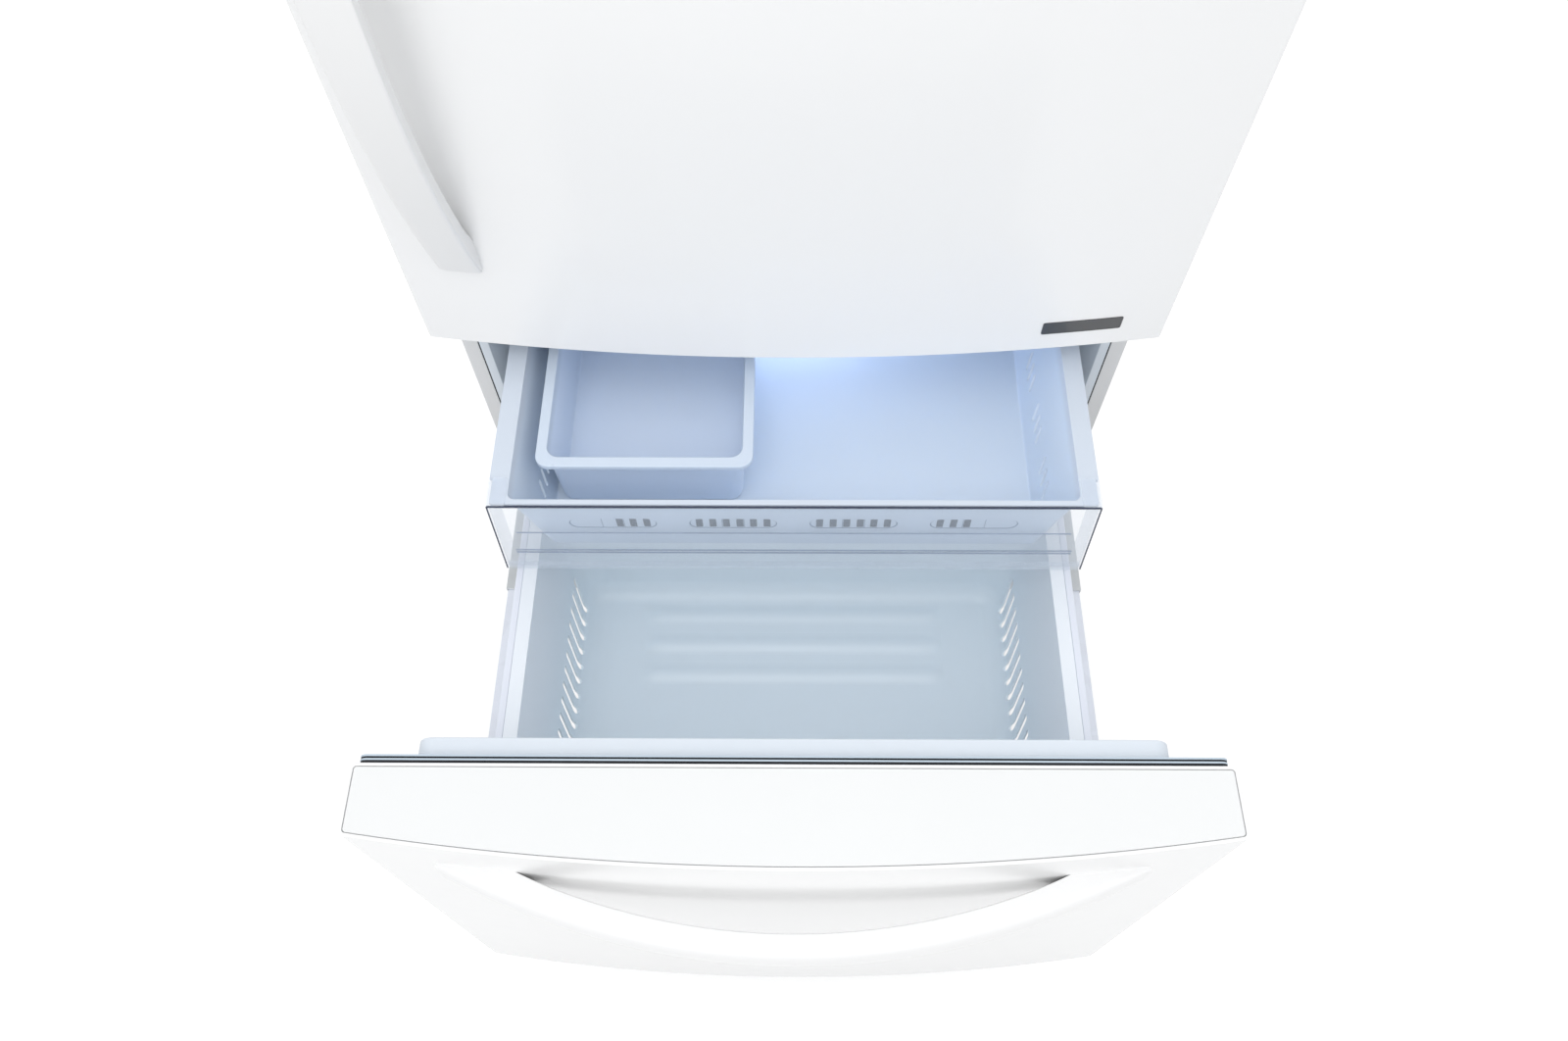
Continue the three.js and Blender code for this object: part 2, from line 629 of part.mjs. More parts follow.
function rearPanel() {
  return block([-HALF, BACK_Y - REAR_SHEET, MACHINE_TOP + FIT], [HALF, BACK_Y, CASE_TOP]);
}

// The cover over the machine compartment, with upright louvre slots.
function compressorCover() {
  let body = block([-HALF, BACK_Y - REAR_SHEET, CASE_BOTTOM], [HALF, BACK_Y, MACHINE_TOP]);
  const slots = 9;
  const pitch = 26;
  const half = 5;
  const low = MACHINE_TOP - 190;
  const high = MACHINE_TOP - 60;
  for (const bank of [-1, 1]) {
    for (let i = 0; i < slots; i += 1) {
      const x = (bank * HALF) / 2 + (i - (slots - 1) / 2) * pitch;
      body = body.subtract(block([x - half, BACK_Y - 4, low], [x + half, BACK_Y + 1, high]));
    }
  }
  return body.subtract(
    block(
      [INLET_X - INLET_HALF - FIT, BACK_Y - 9, INLET_Z - INLET_HALF - FIT],
      [INLET_X + INLET_HALF + FIT, BACK_Y + 1, INLET_Z + INLET_HALF + FIT],
    ),
  );
}

// The socket block where the mains cord goes in.
function cordInlet() {
  const body = block(
    [INLET_X - INLET_HALF, BACK_Y - INLET_DEPTH, INLET_Z - INLET_HALF],
    [INLET_X + INLET_HALF, BACK_Y, INLET_Z + INLET_HALF],
  );
  const bore = INLET_DEPTH - CORD_STOP;
  return body.subtract(rod("y", [INLET_X, BACK_Y, INLET_Z], CORD_HOLE, 2 * bore, 16));
}

function mullionBar() {
  const depth = MULLION_DEPTH;
  const body = block([-LIP_HALF, FRONT_Y, MULLION_LOW], [LIP_HALF, FRONT_Y + depth, MULLION_HIGH]);
  const hollow = block(
    [-LIP_HALF - 1, FRONT_Y + SHEET, MULLION_LOW + SHEET],
    [LIP_HALF + 1, FRONT_Y + depth + 1, MULLION_HIGH - SHEET],
  );
  return body.subtract(hollow);
}

// ---- Doors ------------------------------------------------------------------------------------------

const LINING_FRONT = DOOR_EDGE - PLASTIC; // front face of a door's inner liner
const CORE_REAR = LINING_FRONT - FIT;
const RETURN_WIDTH = 14; // how far the skin turns in behind

// A round-cornered slab lying in x and z between two depths; its far face may be smaller by draft.
function panelY(x0, x1, z0, z1, y0, y1, radius, draft = 0) {
  const near = roundRing(x0, x1, z0, z1, 0, radius);
  const far = roundRing(x0 + draft, x1 - draft, z0 + draft, z1 - draft, 0, radius);
  const stand = (ring, y) => ring.map((p) => new THREE.Vector3(p.x, y, p.y));
  return loft([stand(near, y0), stand(far, y1)]);
}

function doorSkin(z0, z1) {
  let body = bowedSlab(z0, z1, 0, DOOR_EDGE);
  body = body.subtract(bowedSlab(z0 - 1, z1 + 1, SHEET, DOOR_EDGE + 1));
  for (const side of [-1, 1]) {
    const returned = block(
      [side * (HALF - RETURN_WIDTH), DOOR_EDGE - SHEET, z0],
      [side * (HALF - SHEET / 2), DOOR_EDGE, z1],
    );
    body = body.add(returned);
  }
  return body;
}

function endCap(z0) {
  return bowedSlab(z0, z0 + END_CAP, SHEET + FIT, CORE_REAR);
}

function doorCore(z0, z1) {
  return bowedSlab(z0 + END_CAP + FIT, z1 - END_CAP - FIT, SHEET + FIT, CORE_REAR);
}

function doorLining(z0, z1) {
  const half = HALF - RETURN_WIDTH - FIT;
  return block([-half, LINING_FRONT, z0 + 2], [half, DOOR_EDGE, z1 - 2]);
}

function doorSeal(z0, z1, insetX) {
  const half = HALF - insetX;
  const w = SEAL_WIDTH;
  const low = z0 + 3;
  const high = z1 - 3;
  const corner = 4; // inside radius
  const outer = panelY(-half, half, low, high, DOOR_EDGE + FIT, FRONT_Y - FIT, w + corner);
  const inner = panelY(-half + w, half - w, low + w, high - w, DOOR_EDGE, FRONT_Y, corner);
  return outer.subtract(inner);
}

// A bar that bows off a door's face: rings of round-cornered sections from end to end.
// place(station, across, off) puts a point of a section on the door.
function bowedBar({ stations, width, reach, root, gapReach, gapShare, place }) {
  const rings = stations.map((t) => {
    const front = root + (reach - root) * (1 - t * t);
    const back = Math.max(FIT, gapReach * (1 - (t / gapShare) ** 2));
    const radius = Math.min(HANDLE_ROUND, (front - back) / 2 - 0.2);
    const section = roundRing(-width / 2, width / 2, back, front, 0, radius, 3);
    return section.map((p) => place(t, p.x, p.y));
  });
  return loft(rings);
}

const evenly = (count) => Array.from({ length: count + 1 }, (_, i) => (2 * i) / count - 1);
const HANDLE_STEPS = 22;
const HANDLE_ROUND = 8; // radius of its long edges
const GAP_SHARE = 0.77; // the finger gap's half span over the handle's

function drawerHandle() {
  const half = HALF - DRAWER_HANDLE_INSET;
  const middle = DRAWER_TOP - DRAWER_HANDLE_DROP - HANDLE_BAND / 2;
  return bowedBar({
    stations: evenly(HANDLE_STEPS),
    width: HANDLE_BAND,
    reach: DRAWER_HANDLE_REACH,
    root: DRAWER_HANDLE_ROOT,
    gapReach: DRAWER_HANDLE_REACH - HANDLE_THICK,
    gapShare: GAP_SHARE,
    place: (t, across, off) => {
      const x = t * half;
      return new THREE.Vector3(x, -bowAt(x) - off, middle + across);
    },
  });
}

function doorHandle() {
  const half = DOOR_HANDLE_LENGTH / 2;
  const centreX = -HALF + DOOR_HANDLE_INSET;
  const centreZ = DOOR_BOTTOM + DOOR_HANDLE_RISE + half;
  return bowedBar({
    stations: evenly(HANDLE_STEPS),
    width: HANDLE_BAND,
    reach: DOOR_HANDLE_REACH,
    root: DOOR_HANDLE_ROOT,
    gapReach: DOOR_HANDLE_REACH - HANDLE_THICK,
    gapShare: GAP_SHARE,
    place: (t, across, off) => {
      const x = centreX + across;
      return new THREE.Vector3(x, -bowAt(x) - off, centreZ + t * half);
    },
  });
}

// The bare label plate, which follows the door's bow.
function labelPlate() {
  const steps = 4;
  const low = DOOR_BOTTOM + PLATE_RISE - PLATE_HEIGHT / 2;
  const high = low + PLATE_HEIGHT;
  const rings = Array.from({ length: steps + 1 }, (_, i) => {
    const x = HALF - PLATE_INSET + PLATE_WIDTH * (i / steps - 0.5);
    const face = -bowAt(x) - FIT;
    return [
      new THREE.Vector3(x, face, low),
      new THREE.Vector3(x, face - PLATE_THICK, low),
      new THREE.Vector3(x, face - PLATE_THICK, high),
      new THREE.Vector3(x, face, high),
    ];
  });
  return loft(rings);
}

// ---- Fridge door ------------------------------------------------------------------------------------

const DYKE_HALF = CAVITY_HALF - RUN;
const DYKE_WIDTH = 22;
const DYKE_REAR = DOOR_EDGE + DYKE;
const BIN_HALF = DYKE_HALF - DYKE_WIDTH - 1;
const PIN_BORE = PIN_RADIUS + PIN_CLEARANCE;
const PIN_REACH = END_CAP - 2;

function fridgeDoorLining() {
  const z0 = FRIDGE_FLOOR + RUN;
  const z1 = FRIDGE_CEILING - RUN;
  const w = DYKE_WIDTH;
  const ring = panelY(-DYKE_HALF, DYKE_HALF, z0, z1, DOOR_EDGE - 0.5, DYKE_REAR, 30, 2);
  const inner = DYKE_HALF - w;
  const hollow = panelY(-inner, inner, z0 + w, z1 - w, DOOR_EDGE, DYKE_REAR + 1, 20);
  return doorLining(DOOR_BOTTOM, DOOR_TOP).add(ring.subtract(hollow));
}

// A bin that hangs between the lining's two side dykes.
function doorBin(z0) {
  return tray({
    x0: -BIN_HALF,
    x1: BIN_HALF,
    y0: DOOR_EDGE + FIT,
    y1: DOOR_EDGE + DOOR_BIN_DEPTH,
    z0,
    z1: z0 + DOOR_BIN_HEIGHT,
    draft: 3,
    wall: PLASTIC,
    rim: 1,
    radius: 14,
    rimThick: 8,
  });
}

function dairyBox() {
  return block(
    [-BIN_HALF, DOOR_EDGE + FIT, DAIRY_Z],
    [BIN_HALF, DOOR_EDGE + DOOR_BIN_DEPTH, DAIRY_Z + DAIRY_HEIGHT],
  ).subtract(
    block(
      [-BIN_HALF + PLASTIC, DOOR_EDGE + FIT + PLASTIC, DAIRY_Z + PLASTIC],
      [BIN_HALF - PLASTIC, DOOR_EDGE + DOOR_BIN_DEPTH - PLASTIC, DAIRY_Z + DAIRY_HEIGHT + 1],
    ),
  );
}

// A lid with a barrel at its back, about which it turns, and a lip down its front.
function dairyLid() {
  const low = DAIRY_Z + DAIRY_HEIGHT + FIT;
  const top = low + DAIRY_LID;
  const half = BIN_HALF - FIT;
  const front = DOOR_EDGE + DOOR_BIN_DEPTH + FIT;
  const lipDrop = 22;
  const barrelRadius = 4.6;
  const axis = 5; // off the box's back and top
  const hingeY = DOOR_EDGE + FIT + axis;
  const sheet = block([-half, hingeY, low], [half, front + DAIRY_LID - FIT, top]);
  const lip = block([-half, front, low - lipDrop], [half, front + DAIRY_LID, top]);
  return sheet.add(lip).add(rod("x", [0, hingeY, low + axis], barrelRadius, 2 * half, 16));
}

const HINGE_LEAD = 13; // the hinges' plates, before the axis
const HINGE_SIDE = 4; // and in from the cabinet's side
const hingeHole = (z, depth) => rod("z", [HINGE_X, HINGE_DEPTH, z], PIN_BORE, depth, 20);

function topHinge() {
  const seat = CASE_TOP + FIT;
  const top = seat + 4;
  const low = DOOR_TOP - PIN_REACH;
  const plate = block(
    [HINGE_X - HINGE_PLATE, HINGE_DEPTH - HINGE_LEAD, seat],
    [HALF - HINGE_SIDE, FRONT_Y + HINGE_PLATE_BACK, top],
  );
  return plate.add(rod("z", [HINGE_X, HINGE_DEPTH, (low + top) / 2], PIN_RADIUS, top - low, 20));
}

function topHingeCover() {
  const seat = CASE_TOP + FIT;
  const top = CASE_TOP + HINGE_COVER_HEIGHT;
  const shoulder = 8; // the sloped edge round its top
  const wall = 2;
  const x0 = HINGE_X - HINGE_PLATE - 8;
  const x1 = HALF - 1;
  const y0 = HINGE_DEPTH - HINGE_LEAD - 3;
  const y1 = FRONT_Y + HINGE_PLATE_BACK + 6;
  const radius = 10;
  const body = loft([
    roundRing(x0, x1, y0, y1, seat, radius),
    roundRing(x0, x1, y0, y1, top - shoulder, radius),
    roundRing(x0 + 6, x1 - 2, y0 + 4, y1 - 14, top, radius),
  ]);
  const hollow = block([x0 + wall, y0 + wall, seat - 1], [x1 - wall, y1 - wall, top - shoulder - 1]);
  return body.subtract(hollow);
}

function middleHinge() {
  const mid = (DRAWER_TOP + DOOR_BOTTOM) / 2;
  const half = 1.5; // half the plate's thickness
  const leafHalf = 6;
  const x0 = HINGE_X - HINGE_PLATE;
  const x1 = HALF - HINGE_SIDE;
  const back = FRONT_Y - FIT;
  const plate = block([x0, HINGE_DEPTH - HINGE_LEAD, mid - half], [x1, back, mid + half]);
  const leaf = block([x0, back - 2 * half, mid - leafHalf], [x1, back, mid + leafHalf]);
  const upTo = (top, radius) =>
    rod("z", [HINGE_X, HINGE_DEPTH, (mid + top) / 2], radius, top - mid, 20);
  const pin = upTo(DOOR_BOTTOM + PIN_REACH, PIN_RADIUS);
  return plate.add(leaf).add(pin).add(upTo(DOOR_BOTTOM - FIT, PIN_RADIUS + 4));
}

// ---- Freezer drawer ---------------------------------------------------------------------------------

function freezerDrawerLining() {
  const z0 = PLATEAU_BOTTOM;
  const z1 = PLATEAU_TOP;
  const lean = 4;
  const base = PLATEAU_HALF + lean;
  const raised = panelY(-base, base, z0, z1, LINING_FRONT, PLATEAU_REAR, 26, lean);
  const p = PLASTIC;
  const inner = base - p;
  const rear = PLATEAU_REAR - p;
  const hollow = panelY(-inner, inner, z0 + p, z1 - p, LINING_FRONT - 1, rear, 24, lean);
  return doorLining(DRAWER_BOTTOM, DRAWER_TOP).add(raised).subtract(hollow);
}

function freezerDrawerCore() {
  const p = PLASTIC + FIT + 4;
  const half = PLATEAU_HALF - p;
  const rear = PLATEAU_REAR - PLASTIC - FIT;
  const raised = panelY(-half, half, PLATEAU_BOTTOM + p, PLATEAU_TOP - p, CORE_REAR - 2, rear, 22);
  return doorCore(DRAWER_BOTTOM, DRAWER_TOP).add(raised);
}

const BASKET_FRONT = PLATEAU_REAR + FIT;
const BASKET_BACK = STEP_FRONT - BASKET_GAP;

// One slot through a side wall, its top leaning back.
function wallSlot([x, y, z], { width, length }, lean) {
  const through = 40;
  const cutter = new THREE.BoxGeometry(through, width, length);
  return solid(cutter.rotateX(-lean).translate(x, y, z));
}

function freezerBasket() {
  let body = tray({
    x0: -BASKET_HALF,
    x1: BASKET_HALF,
    y0: BASKET_FRONT,
    y1: BASKET_BACK,
    z0: BASKET_FLOOR,
    z1: BASKET_TOP,
    draft: BASKET_DRAFT,
    wall: PLASTIC,
    rim: BASKET_RIM,
    radius: 34,
    rimThick: BASKET_RIM_THICK,
  });
  const wall = BASKET_HALF - BASKET_RIM - BASKET_DRAFT * 0.75;
  const z = BASKET_FLOOR + BASKET_SLOT_RISE;
  for (let i = 0; i < BASKET_SLOTS; i += 1) {
    const y = BASKET_FRONT + BASKET_SLOT_START + i * BASKET_SLOT_PITCH;
    for (const side of [-1, 1]) {
      body = body.subtract(wallSlot([side * wall, y, z], BASKET_SLOT_SIZE, 0));
    }
  }
  return body;
}

// The three members of a telescopic slide, one inside the other, at the right or the left.
const RAIL_LOW = BASKET_TOP - RAIL_DROP;
const RAIL_TOP = RAIL_LOW + RAIL_HEIGHT;
const SLIDE_GAP = 0.4;
const OUTER_X1 = CAVITY_HALF - FIT;
const OUTER_X0 = OUTER_X1 - RAIL_WIDTH;
const MIDDLE_X1 = OUTER_X1 - RAIL_STEEL - SLIDE_GAP;
const MIDDLE_X0 = OUTER_X0 + SLIDE_GAP;
const MIDDLE_LOW = RAIL_LOW + RAIL_STEEL + SLIDE_GAP;
const MIDDLE_TOP = RAIL_TOP - RAIL_STEEL - SLIDE_GAP;
const INNER_X1 = MIDDLE_X1 - RAIL_STEEL - SLIDE_GAP;
const INNER_LOW = MIDDLE_LOW + RAIL_STEEL + SLIDE_GAP;
const INNER_TOP = MIDDLE_TOP - RAIL_STEEL - SLIDE_GAP;
const RAIL_FRONT = PLATEAU_REAR + 2 * RUN;
const RAIL_BACK = FREEZER_PANEL_Y - RAIL_GAP;

function channel(side, x0, x1, low, top, y0, y1) {
  const t = RAIL_STEEL;
  const body = block([side * x0, y0, low], [side * x1, y1, top]);
  return body.subtract(block([side * (x0 - 1), y0 - 1, low + t], [side * (x1 - t), y1 + 1, top - t]));
}

function outerSlide(side) {
  return channel(side, OUTER_X0, OUTER_X1, RAIL_LOW, RAIL_TOP, RAIL_FRONT, RAIL_BACK);
}

function middleSlide(side) {
  const back = RAIL_BACK - MIDDLE_RAIL_SHORTER;
  return channel(side, MIDDLE_X0, MIDDLE_X1, MIDDLE_LOW, MIDDLE_TOP, RAIL_FRONT, back);
}

// The inner slide member, and on it a web, a wall and a shelf that carry the basket's rim, a strip beside
// the rim, and a foot on the drawer's lining.
function innerSlide(side) {
  const thick = 3.5;
  const shelfTop = BASKET_TOP - BASKET_RIM_THICK - FIT;
  const shelfIn = BASKET_HALF - BASKET_RIM + RUN;
  const wallOut = BASKET_HALF + SUPPORT_WIDTH;
  const wallIn = wallOut - thick;
  const barIn = OUTER_X0 - SLIDE_GAP - 1 - thick;
  const back = RAIL_BACK - INNER_RAIL_SHORTER;
  const bar = block([side * barIn, RAIL_FRONT, INNER_LOW], [side * INNER_X1, back, INNER_TOP]);
  const web = block(
    [side * wallIn, RAIL_FRONT, INNER_TOP - thick],
    [side * (barIn + 1), BASKET_BACK, INNER_TOP],
  );
  const wall = block(
    [side * wallIn, BASKET_FRONT + 2, INNER_TOP - thick],
    [side * wallOut, BASKET_BACK, BASKET_TOP],
  );
  const shelf = block(
    [side * shelfIn, BASKET_FRONT + 2, shelfTop - thick],
    [side * wallOut, BASKET_BACK, shelfTop],
  );
  const strip = block(
    [side * (BASKET_HALF + FIT), BASKET_FRONT + 2, shelfTop - thick],
    [side * wallOut, BASKET_BACK, BASKET_TOP],
  );
  const foot = block(
    [side * (BASKET_HALF + 1), PLATEAU_REAR + FIT, INNER_LOW],
    [side * (barIn + thick), RAIL_FRONT + 2 * RUN, BASKET_TOP],
  );
  return bar.add(web).add(wall).add(shelf).add(strip).add(foot);
}

// ---- Upper drawer and ice bin -----------------------------------------------------------------------

const TUB_FRONT = UPPER_FRONT + COVER_WALL + FIT;

function upperTub() {
  let body = tray({
    x0: -UPPER_HALF,
    x1: UPPER_HALF,
    y0: TUB_FRONT,
    y1: TUB_FRONT + UPPER_LENGTH,
    z0: UPPER_FLOOR,
    z1: UPPER_TOP,
    draft: UPPER_DRAFT,
    wall: PLASTIC,
    rim: UPPER_RIM,
    rimY: UPPER_END_RIM,
    draftY: UPPER_END_DRAFT,
    radius: 10,
    rimThick: UPPER_RIM_THICK,
  });
  // The rim is narrower at its front corners, where the clear cover's returns pass it.
  const clear = COVER_HALF - COVER_LEAN - COVER_WALL - FIT;
  for (const side of [-1, 1]) {
    body = body.subtract(
      block(
        [side * clear, TUB_FRONT - 1, UPPER_FLOOR],
        [side * HALF, UPPER_FRONT + COVER_RETURN + FIT, UPPER_TOP + 1],
      ),
    );
  }
  // Air holes in the front wall: six in each middle bank, three in each outer one.
  const ventZ = UPPER_FLOOR + UPPER_HEIGHT / 2;
  const { width: across, height: high } = VENT_HALF;
  const flat = 2 * (UPPER_HALF - UPPER_RIM - UPPER_DRAFT);
  const spacing = (flat - VENT_MARGIN) / VENT_BANKS;
  const banks = [
    { at: -1.5, from: 0, to: 3 },
    { at: -0.5, from: -3, to: 3 },
    { at: 0.5, from: -3, to: 3 },
    { at: 1.5, from: -3, to: 0 },
  ];
  for (const { at, from, to } of banks) {
    for (let i = from; i < to; i += 1) {
      const x = at * spacing + (i + 0.5) * VENT_PITCH;
      body = body.subtract(
        block([x - across, TUB_FRONT, ventZ - high], [x + across, TUB_FRONT + 70, ventZ + high]),
      );
    }
  }
  const wall = UPPER_HALF - UPPER_RIM - UPPER_DRAFT * (1 - STROKE_RISE / UPPER_HEIGHT);
  const z = UPPER_FLOOR + STROKE_RISE;
  for (let group = 0; group < STROKE_GROUPS; group += 1) {
    for (const stroke of [-1, 0, 1]) {
      const y = TUB_FRONT + STROKE_START + group * STROKE_SPACING + stroke * STROKE_PITCH;
      for (const side of [-1, 1]) {
        body = body.subtract(wallSlot([side * wall, y, z], STROKE_SIZE, STROKE_LEAN));
      }
    }
  }
  return body;
}

// The clear cover: a front sheet with side returns, a lip along its top and a foot turned in.
function clearCover() {
  const low = COVER_FOOT;
  const high = UPPER_TOP - 2;
  const w = COVER_WALL;
  const ring = (half, z, y0, y1) => [
    new THREE.Vector3(half, y0, z),
    new THREE.Vector3(half, y1, z),
    new THREE.Vector3(-half, y1, z),
    new THREE.Vector3(-half, y0, z),
  ];
  const back = UPPER_FRONT + COVER_RETURN;
  const spare = 1; // the cutters run out past the sheet
  const outer = loft([
    ring(COVER_HALF, low, UPPER_FRONT, back),
    ring(COVER_HALF - COVER_LEAN, high, UPPER_FRONT, back),
  ]);
  const inner = loft([
    ring(COVER_HALF - w, low + w, UPPER_FRONT + w, back + spare),
    ring(COVER_HALF - COVER_LEAN - w, high + spare, UPPER_FRONT + w, back + spare),
  ]);
  const foot = block(
    [-HALF, UPPER_FRONT + COVER_FOOT_DEPTH, low - spare],
    [HALF, back + spare, low + w + spare],
  );
  return outer.subtract(inner).subtract(foot);
}

function iceBin() {
  const left = -UPPER_HALF + BIN_SIDE;
  const front = UPPER_FRONT + BIN_SETBACK;
  return tray({
    x0: left,
    x1: left + BIN_WIDTH,
    y0: front,
    y1: front + BIN_LENGTH,
    z0: UPPER_FLOOR + PLASTIC + FIT,
    z1: UPPER_TOP - BIN_DROP,
    draft: 6,
    wall: PLASTIC,
    rim: BIN_RIM,
    radius: 26,
    rimThick: 5,
  });
}

// ---- Fridge compartment -----------------------------------------------------------------------------

const DUCT_FRONT = CAVITY_BACK - DUCT_DEPTH;
const SHELF_BACK = DUCT_FRONT - FIT;
const SHELF_HALF = CAVITY_HALF - 2;
const LEDGE = 12;

// Ledges moulded on the side walls under each shelf and the crisper cover.
function fridgeLiner() {
  let body = compartment(fridgeHollows, FRIDGE_FLOOR - PLASTIC, FRIDGE_LIP_HIGH);
  for (const top of [...SHELF_Z, CRISPER_TOP]) {
    for (const side of [-1, 1]) {
      body = body.add(
        block(
          [side * (CAVITY_HALF - LEDGE), SHELF_FRONT, top - LEDGE / 2 - FIT],
          [side * (CAVITY_HALF + FIT), SHELF_BACK - 40, top - FIT],
        ),
      );
    }
  }
  return body;
}

// Glass with a raised bar along its front and its back.
function glassShelf(z) {
  const h = SHELF_HALF;
  const drop = 2; // the front bar hangs below the glass
  const front = SHELF_FRONT - 10;
  const sheet = block([-h, front + 1, z], [h, SHELF_BACK, z + SHELF_GLASS]);
  const frontBar = block([-h, front, z - drop], [h, SHELF_FRONT - FIT, z + SHELF_FRAME - drop]);
  const backBar = block([-h, SHELF_BACK - 12, z], [h, SHELF_BACK, z + SHELF_FRAME]);
  return sheet.add(frontBar).add(backBar);
}

function crisper(side) {
  const near = RUN;
  const far = CAVITY_HALF - LEDGE - RUN;
  const front = SHELF_FRONT - CRISPER_LEAD;
  const top = CRISPER_TOP - RUN;
  const body = tray({
    x0: Math.min(side * near, side * far),
    x1: Math.max(side * near, side * far),
    y0: front,
    y1: front + CRISPER_LENGTH,
    z0: FRIDGE_FLOOR + FIT,
    z1: top,
    draft: 10,
    wall: CRISPER_WALL,
    rim: 6,
    radius: 22,
    rimThick: 6,
  });
  const middle = (side * (near + far)) / 2;
  const outer = CRISPER_PULL_HALF;
  const wall = 4;
  const inner = outer - wall;
  const pull = block([middle - outer, front - 8, top - 26], [middle + outer, front + 8, top - 1]);
  const grip = block([middle - inner, front - 4, top - 30], [middle + inner, front + 4.6, top - 5]);
  return body.add(pull.subtract(grip));
}

// The duct up the back wall, with pairs of air slots spread evenly over it.
function airDuct() {
  const low = FRIDGE_FLOOR + 30;
  const high = FRIDGE_CEILING - FIT;
  let body = panelY(-DUCT_HALF, DUCT_HALF, low, high, DUCT_FRONT, CAVITY_BACK - FIT, 12);
  const vents = 5;
  const first = CRISPER_TOP + 158;
  const last = FRIDGE_CEILING - 90;
  for (let i = 0; i < vents; i += 1) {
    const z = first + (i * (last - first)) / (vents - 1);
    for (const side of [-1, 1]) {
      const inner = side * (DUCT_HALF - 75);
      const outer = side * (DUCT_HALF - 20);
      body = body.subtract(block([inner, DUCT_FRONT - 1, z], [outer, DUCT_FRONT + 12, z + 14]));
    }
  }
  return body;
}

// A shallow block that hangs from a ceiling and narrows downwards.
function hangingBlock(half, y, depth, ceiling, drop, lean, radius) {
  const low = ceiling - drop;
  return loft([
    roundRing(-half + lean, half - lean, y + lean, y + depth - lean, low, radius),
    roundRing(-half, half, y, y + depth, ceiling - FIT, radius),
  ]);
}

function controlPanel() {
  const y = FRONT_Y + CONTROL_SETBACK;
  return hangingBlock(CONTROL_HALF, y, CONTROL_DEPTH, FRIDGE_CEILING, 20, 10, 12);
}

function freezerLamp() {
  return hangingBlock(LAMP_HALF, FRONT_Y + LAMP_SETBACK, LAMP_DEPTH, FREEZER_CEILING, 6, 4, 10);
}

// ---- Cooling ----------------------------------------------------------------------------------------

const EVAPORATOR = {
  half: CAVITY_HALF - EVAPORATOR_INSET,
  low: STEP_TOP + EVAPORATOR_RISE,
  high: STEP_TOP + EVAPORATOR_RISE + EVAPORATOR_HEIGHT,
  front: FREEZER_PANEL_Y + EVAPORATOR_GAP,
  back: FREEZER_PANEL_Y + EVAPORATOR_GAP + EVAPORATOR_DEPTH,
};
const EVAPORATOR_FAN_RADIUS = 48;
const EVAPORATOR_FAN_Z = EVAPORATOR.high + EVAPORATOR_FAN_RADIUS + 17;
const FAN_BOSS = 18; // evaporator fan's motor, in front of the panel's back face
const FAN_Y = FREEZER_PANEL_Y + FAN_BOSS + FIT + FAN_DEPTH / 2;

function freezerRearPanel() {
  const half = CAVITY_HALF - FIT;
  let body = block(
    [-half, FREEZER_PANEL_Y, STEP_TOP + FIT],
    [half, FREEZER_PANEL_Y + PLASTIC, FREEZER_CEILING - FIT],
  );
  // The fan's boss, and the feet that hold the evaporator.
  body = body.add(rod("y", [0, FREEZER_PANEL_Y + FAN_BOSS / 2, EVAPORATOR_FAN_Z], 12, FAN_BOSS, 20));
  const axle = FAN_BOSS + FAN_DEPTH;
  const axleY = FREEZER_PANEL_Y + axle / 2;
  body = body.add(rod("y", [0, axleY, EVAPORATOR_FAN_Z], AXLE_RADIUS, axle, 12));
  for (const side of [-1, 1]) {
    const x = side * (EVAPORATOR.half - EVAPORATOR_SIDE);
    const low = EVAPORATOR.low + 30;
    const footHalf = 6;
    body = body.add(
      block([x - footHalf, FREEZER_PANEL_Y, low], [x + footHalf, EVAPORATOR.front - FIT, low + 30]),
    );
  }
  const slotPitch = 90;
  const slotHalf = 30;
  for (const z of [STEP_TOP + 30, FREEZER_CEILING - 30]) {
    for (let i = -3; i <= 3; i += 1) {
      const x = i * slotPitch;
      const through = FREEZER_PANEL_Y + PLASTIC + 1;
      body = body.subtract(
        block([x - slotHalf, FREEZER_PANEL_Y - 1, z - 5], [x + slotHalf, through, z + 5]),
      );
    }
  }
  return body;
}

// Upright fins on two straight tubes, with a bend and a side plate at each end.
function evaporator() {
  const { half, low, high, front, back } = EVAPORATOR;
  const fins = 9;
  const finHalf = 0.8;
  const finReach = half - EVAPORATOR_FIN_INSET;
  const tube = 5;
  let body = null;
  for (let i = 0; i < fins; i += 1) {
    const x = -finReach + (i * 2 * finReach) / (fins - 1);
    const fin = block([x - finHalf, front, low], [x + finHalf, back, high]);
    body = body ? body.add(fin) : fin;
  }
  const middle = (front + back) / 2;
  for (const share of [0.2, 0.8]) {
    body = body.add(rod("x", [0, middle, low + share * (high - low)], tube, 2 * half, 8));
  }
  const bend = 0.6 * (high - low) + 8;
  for (const side of [-1, 1]) {
    const x = side * (half - EVAPORATOR_SIDE);
    body = body
      .add(rod("z", [side * (half - tube), middle, (low + high) / 2], tube, bend, 8))
      .add(block([x - tube, front, low + 20], [x + tube, back, high - 20]));
  }
  return body;
}

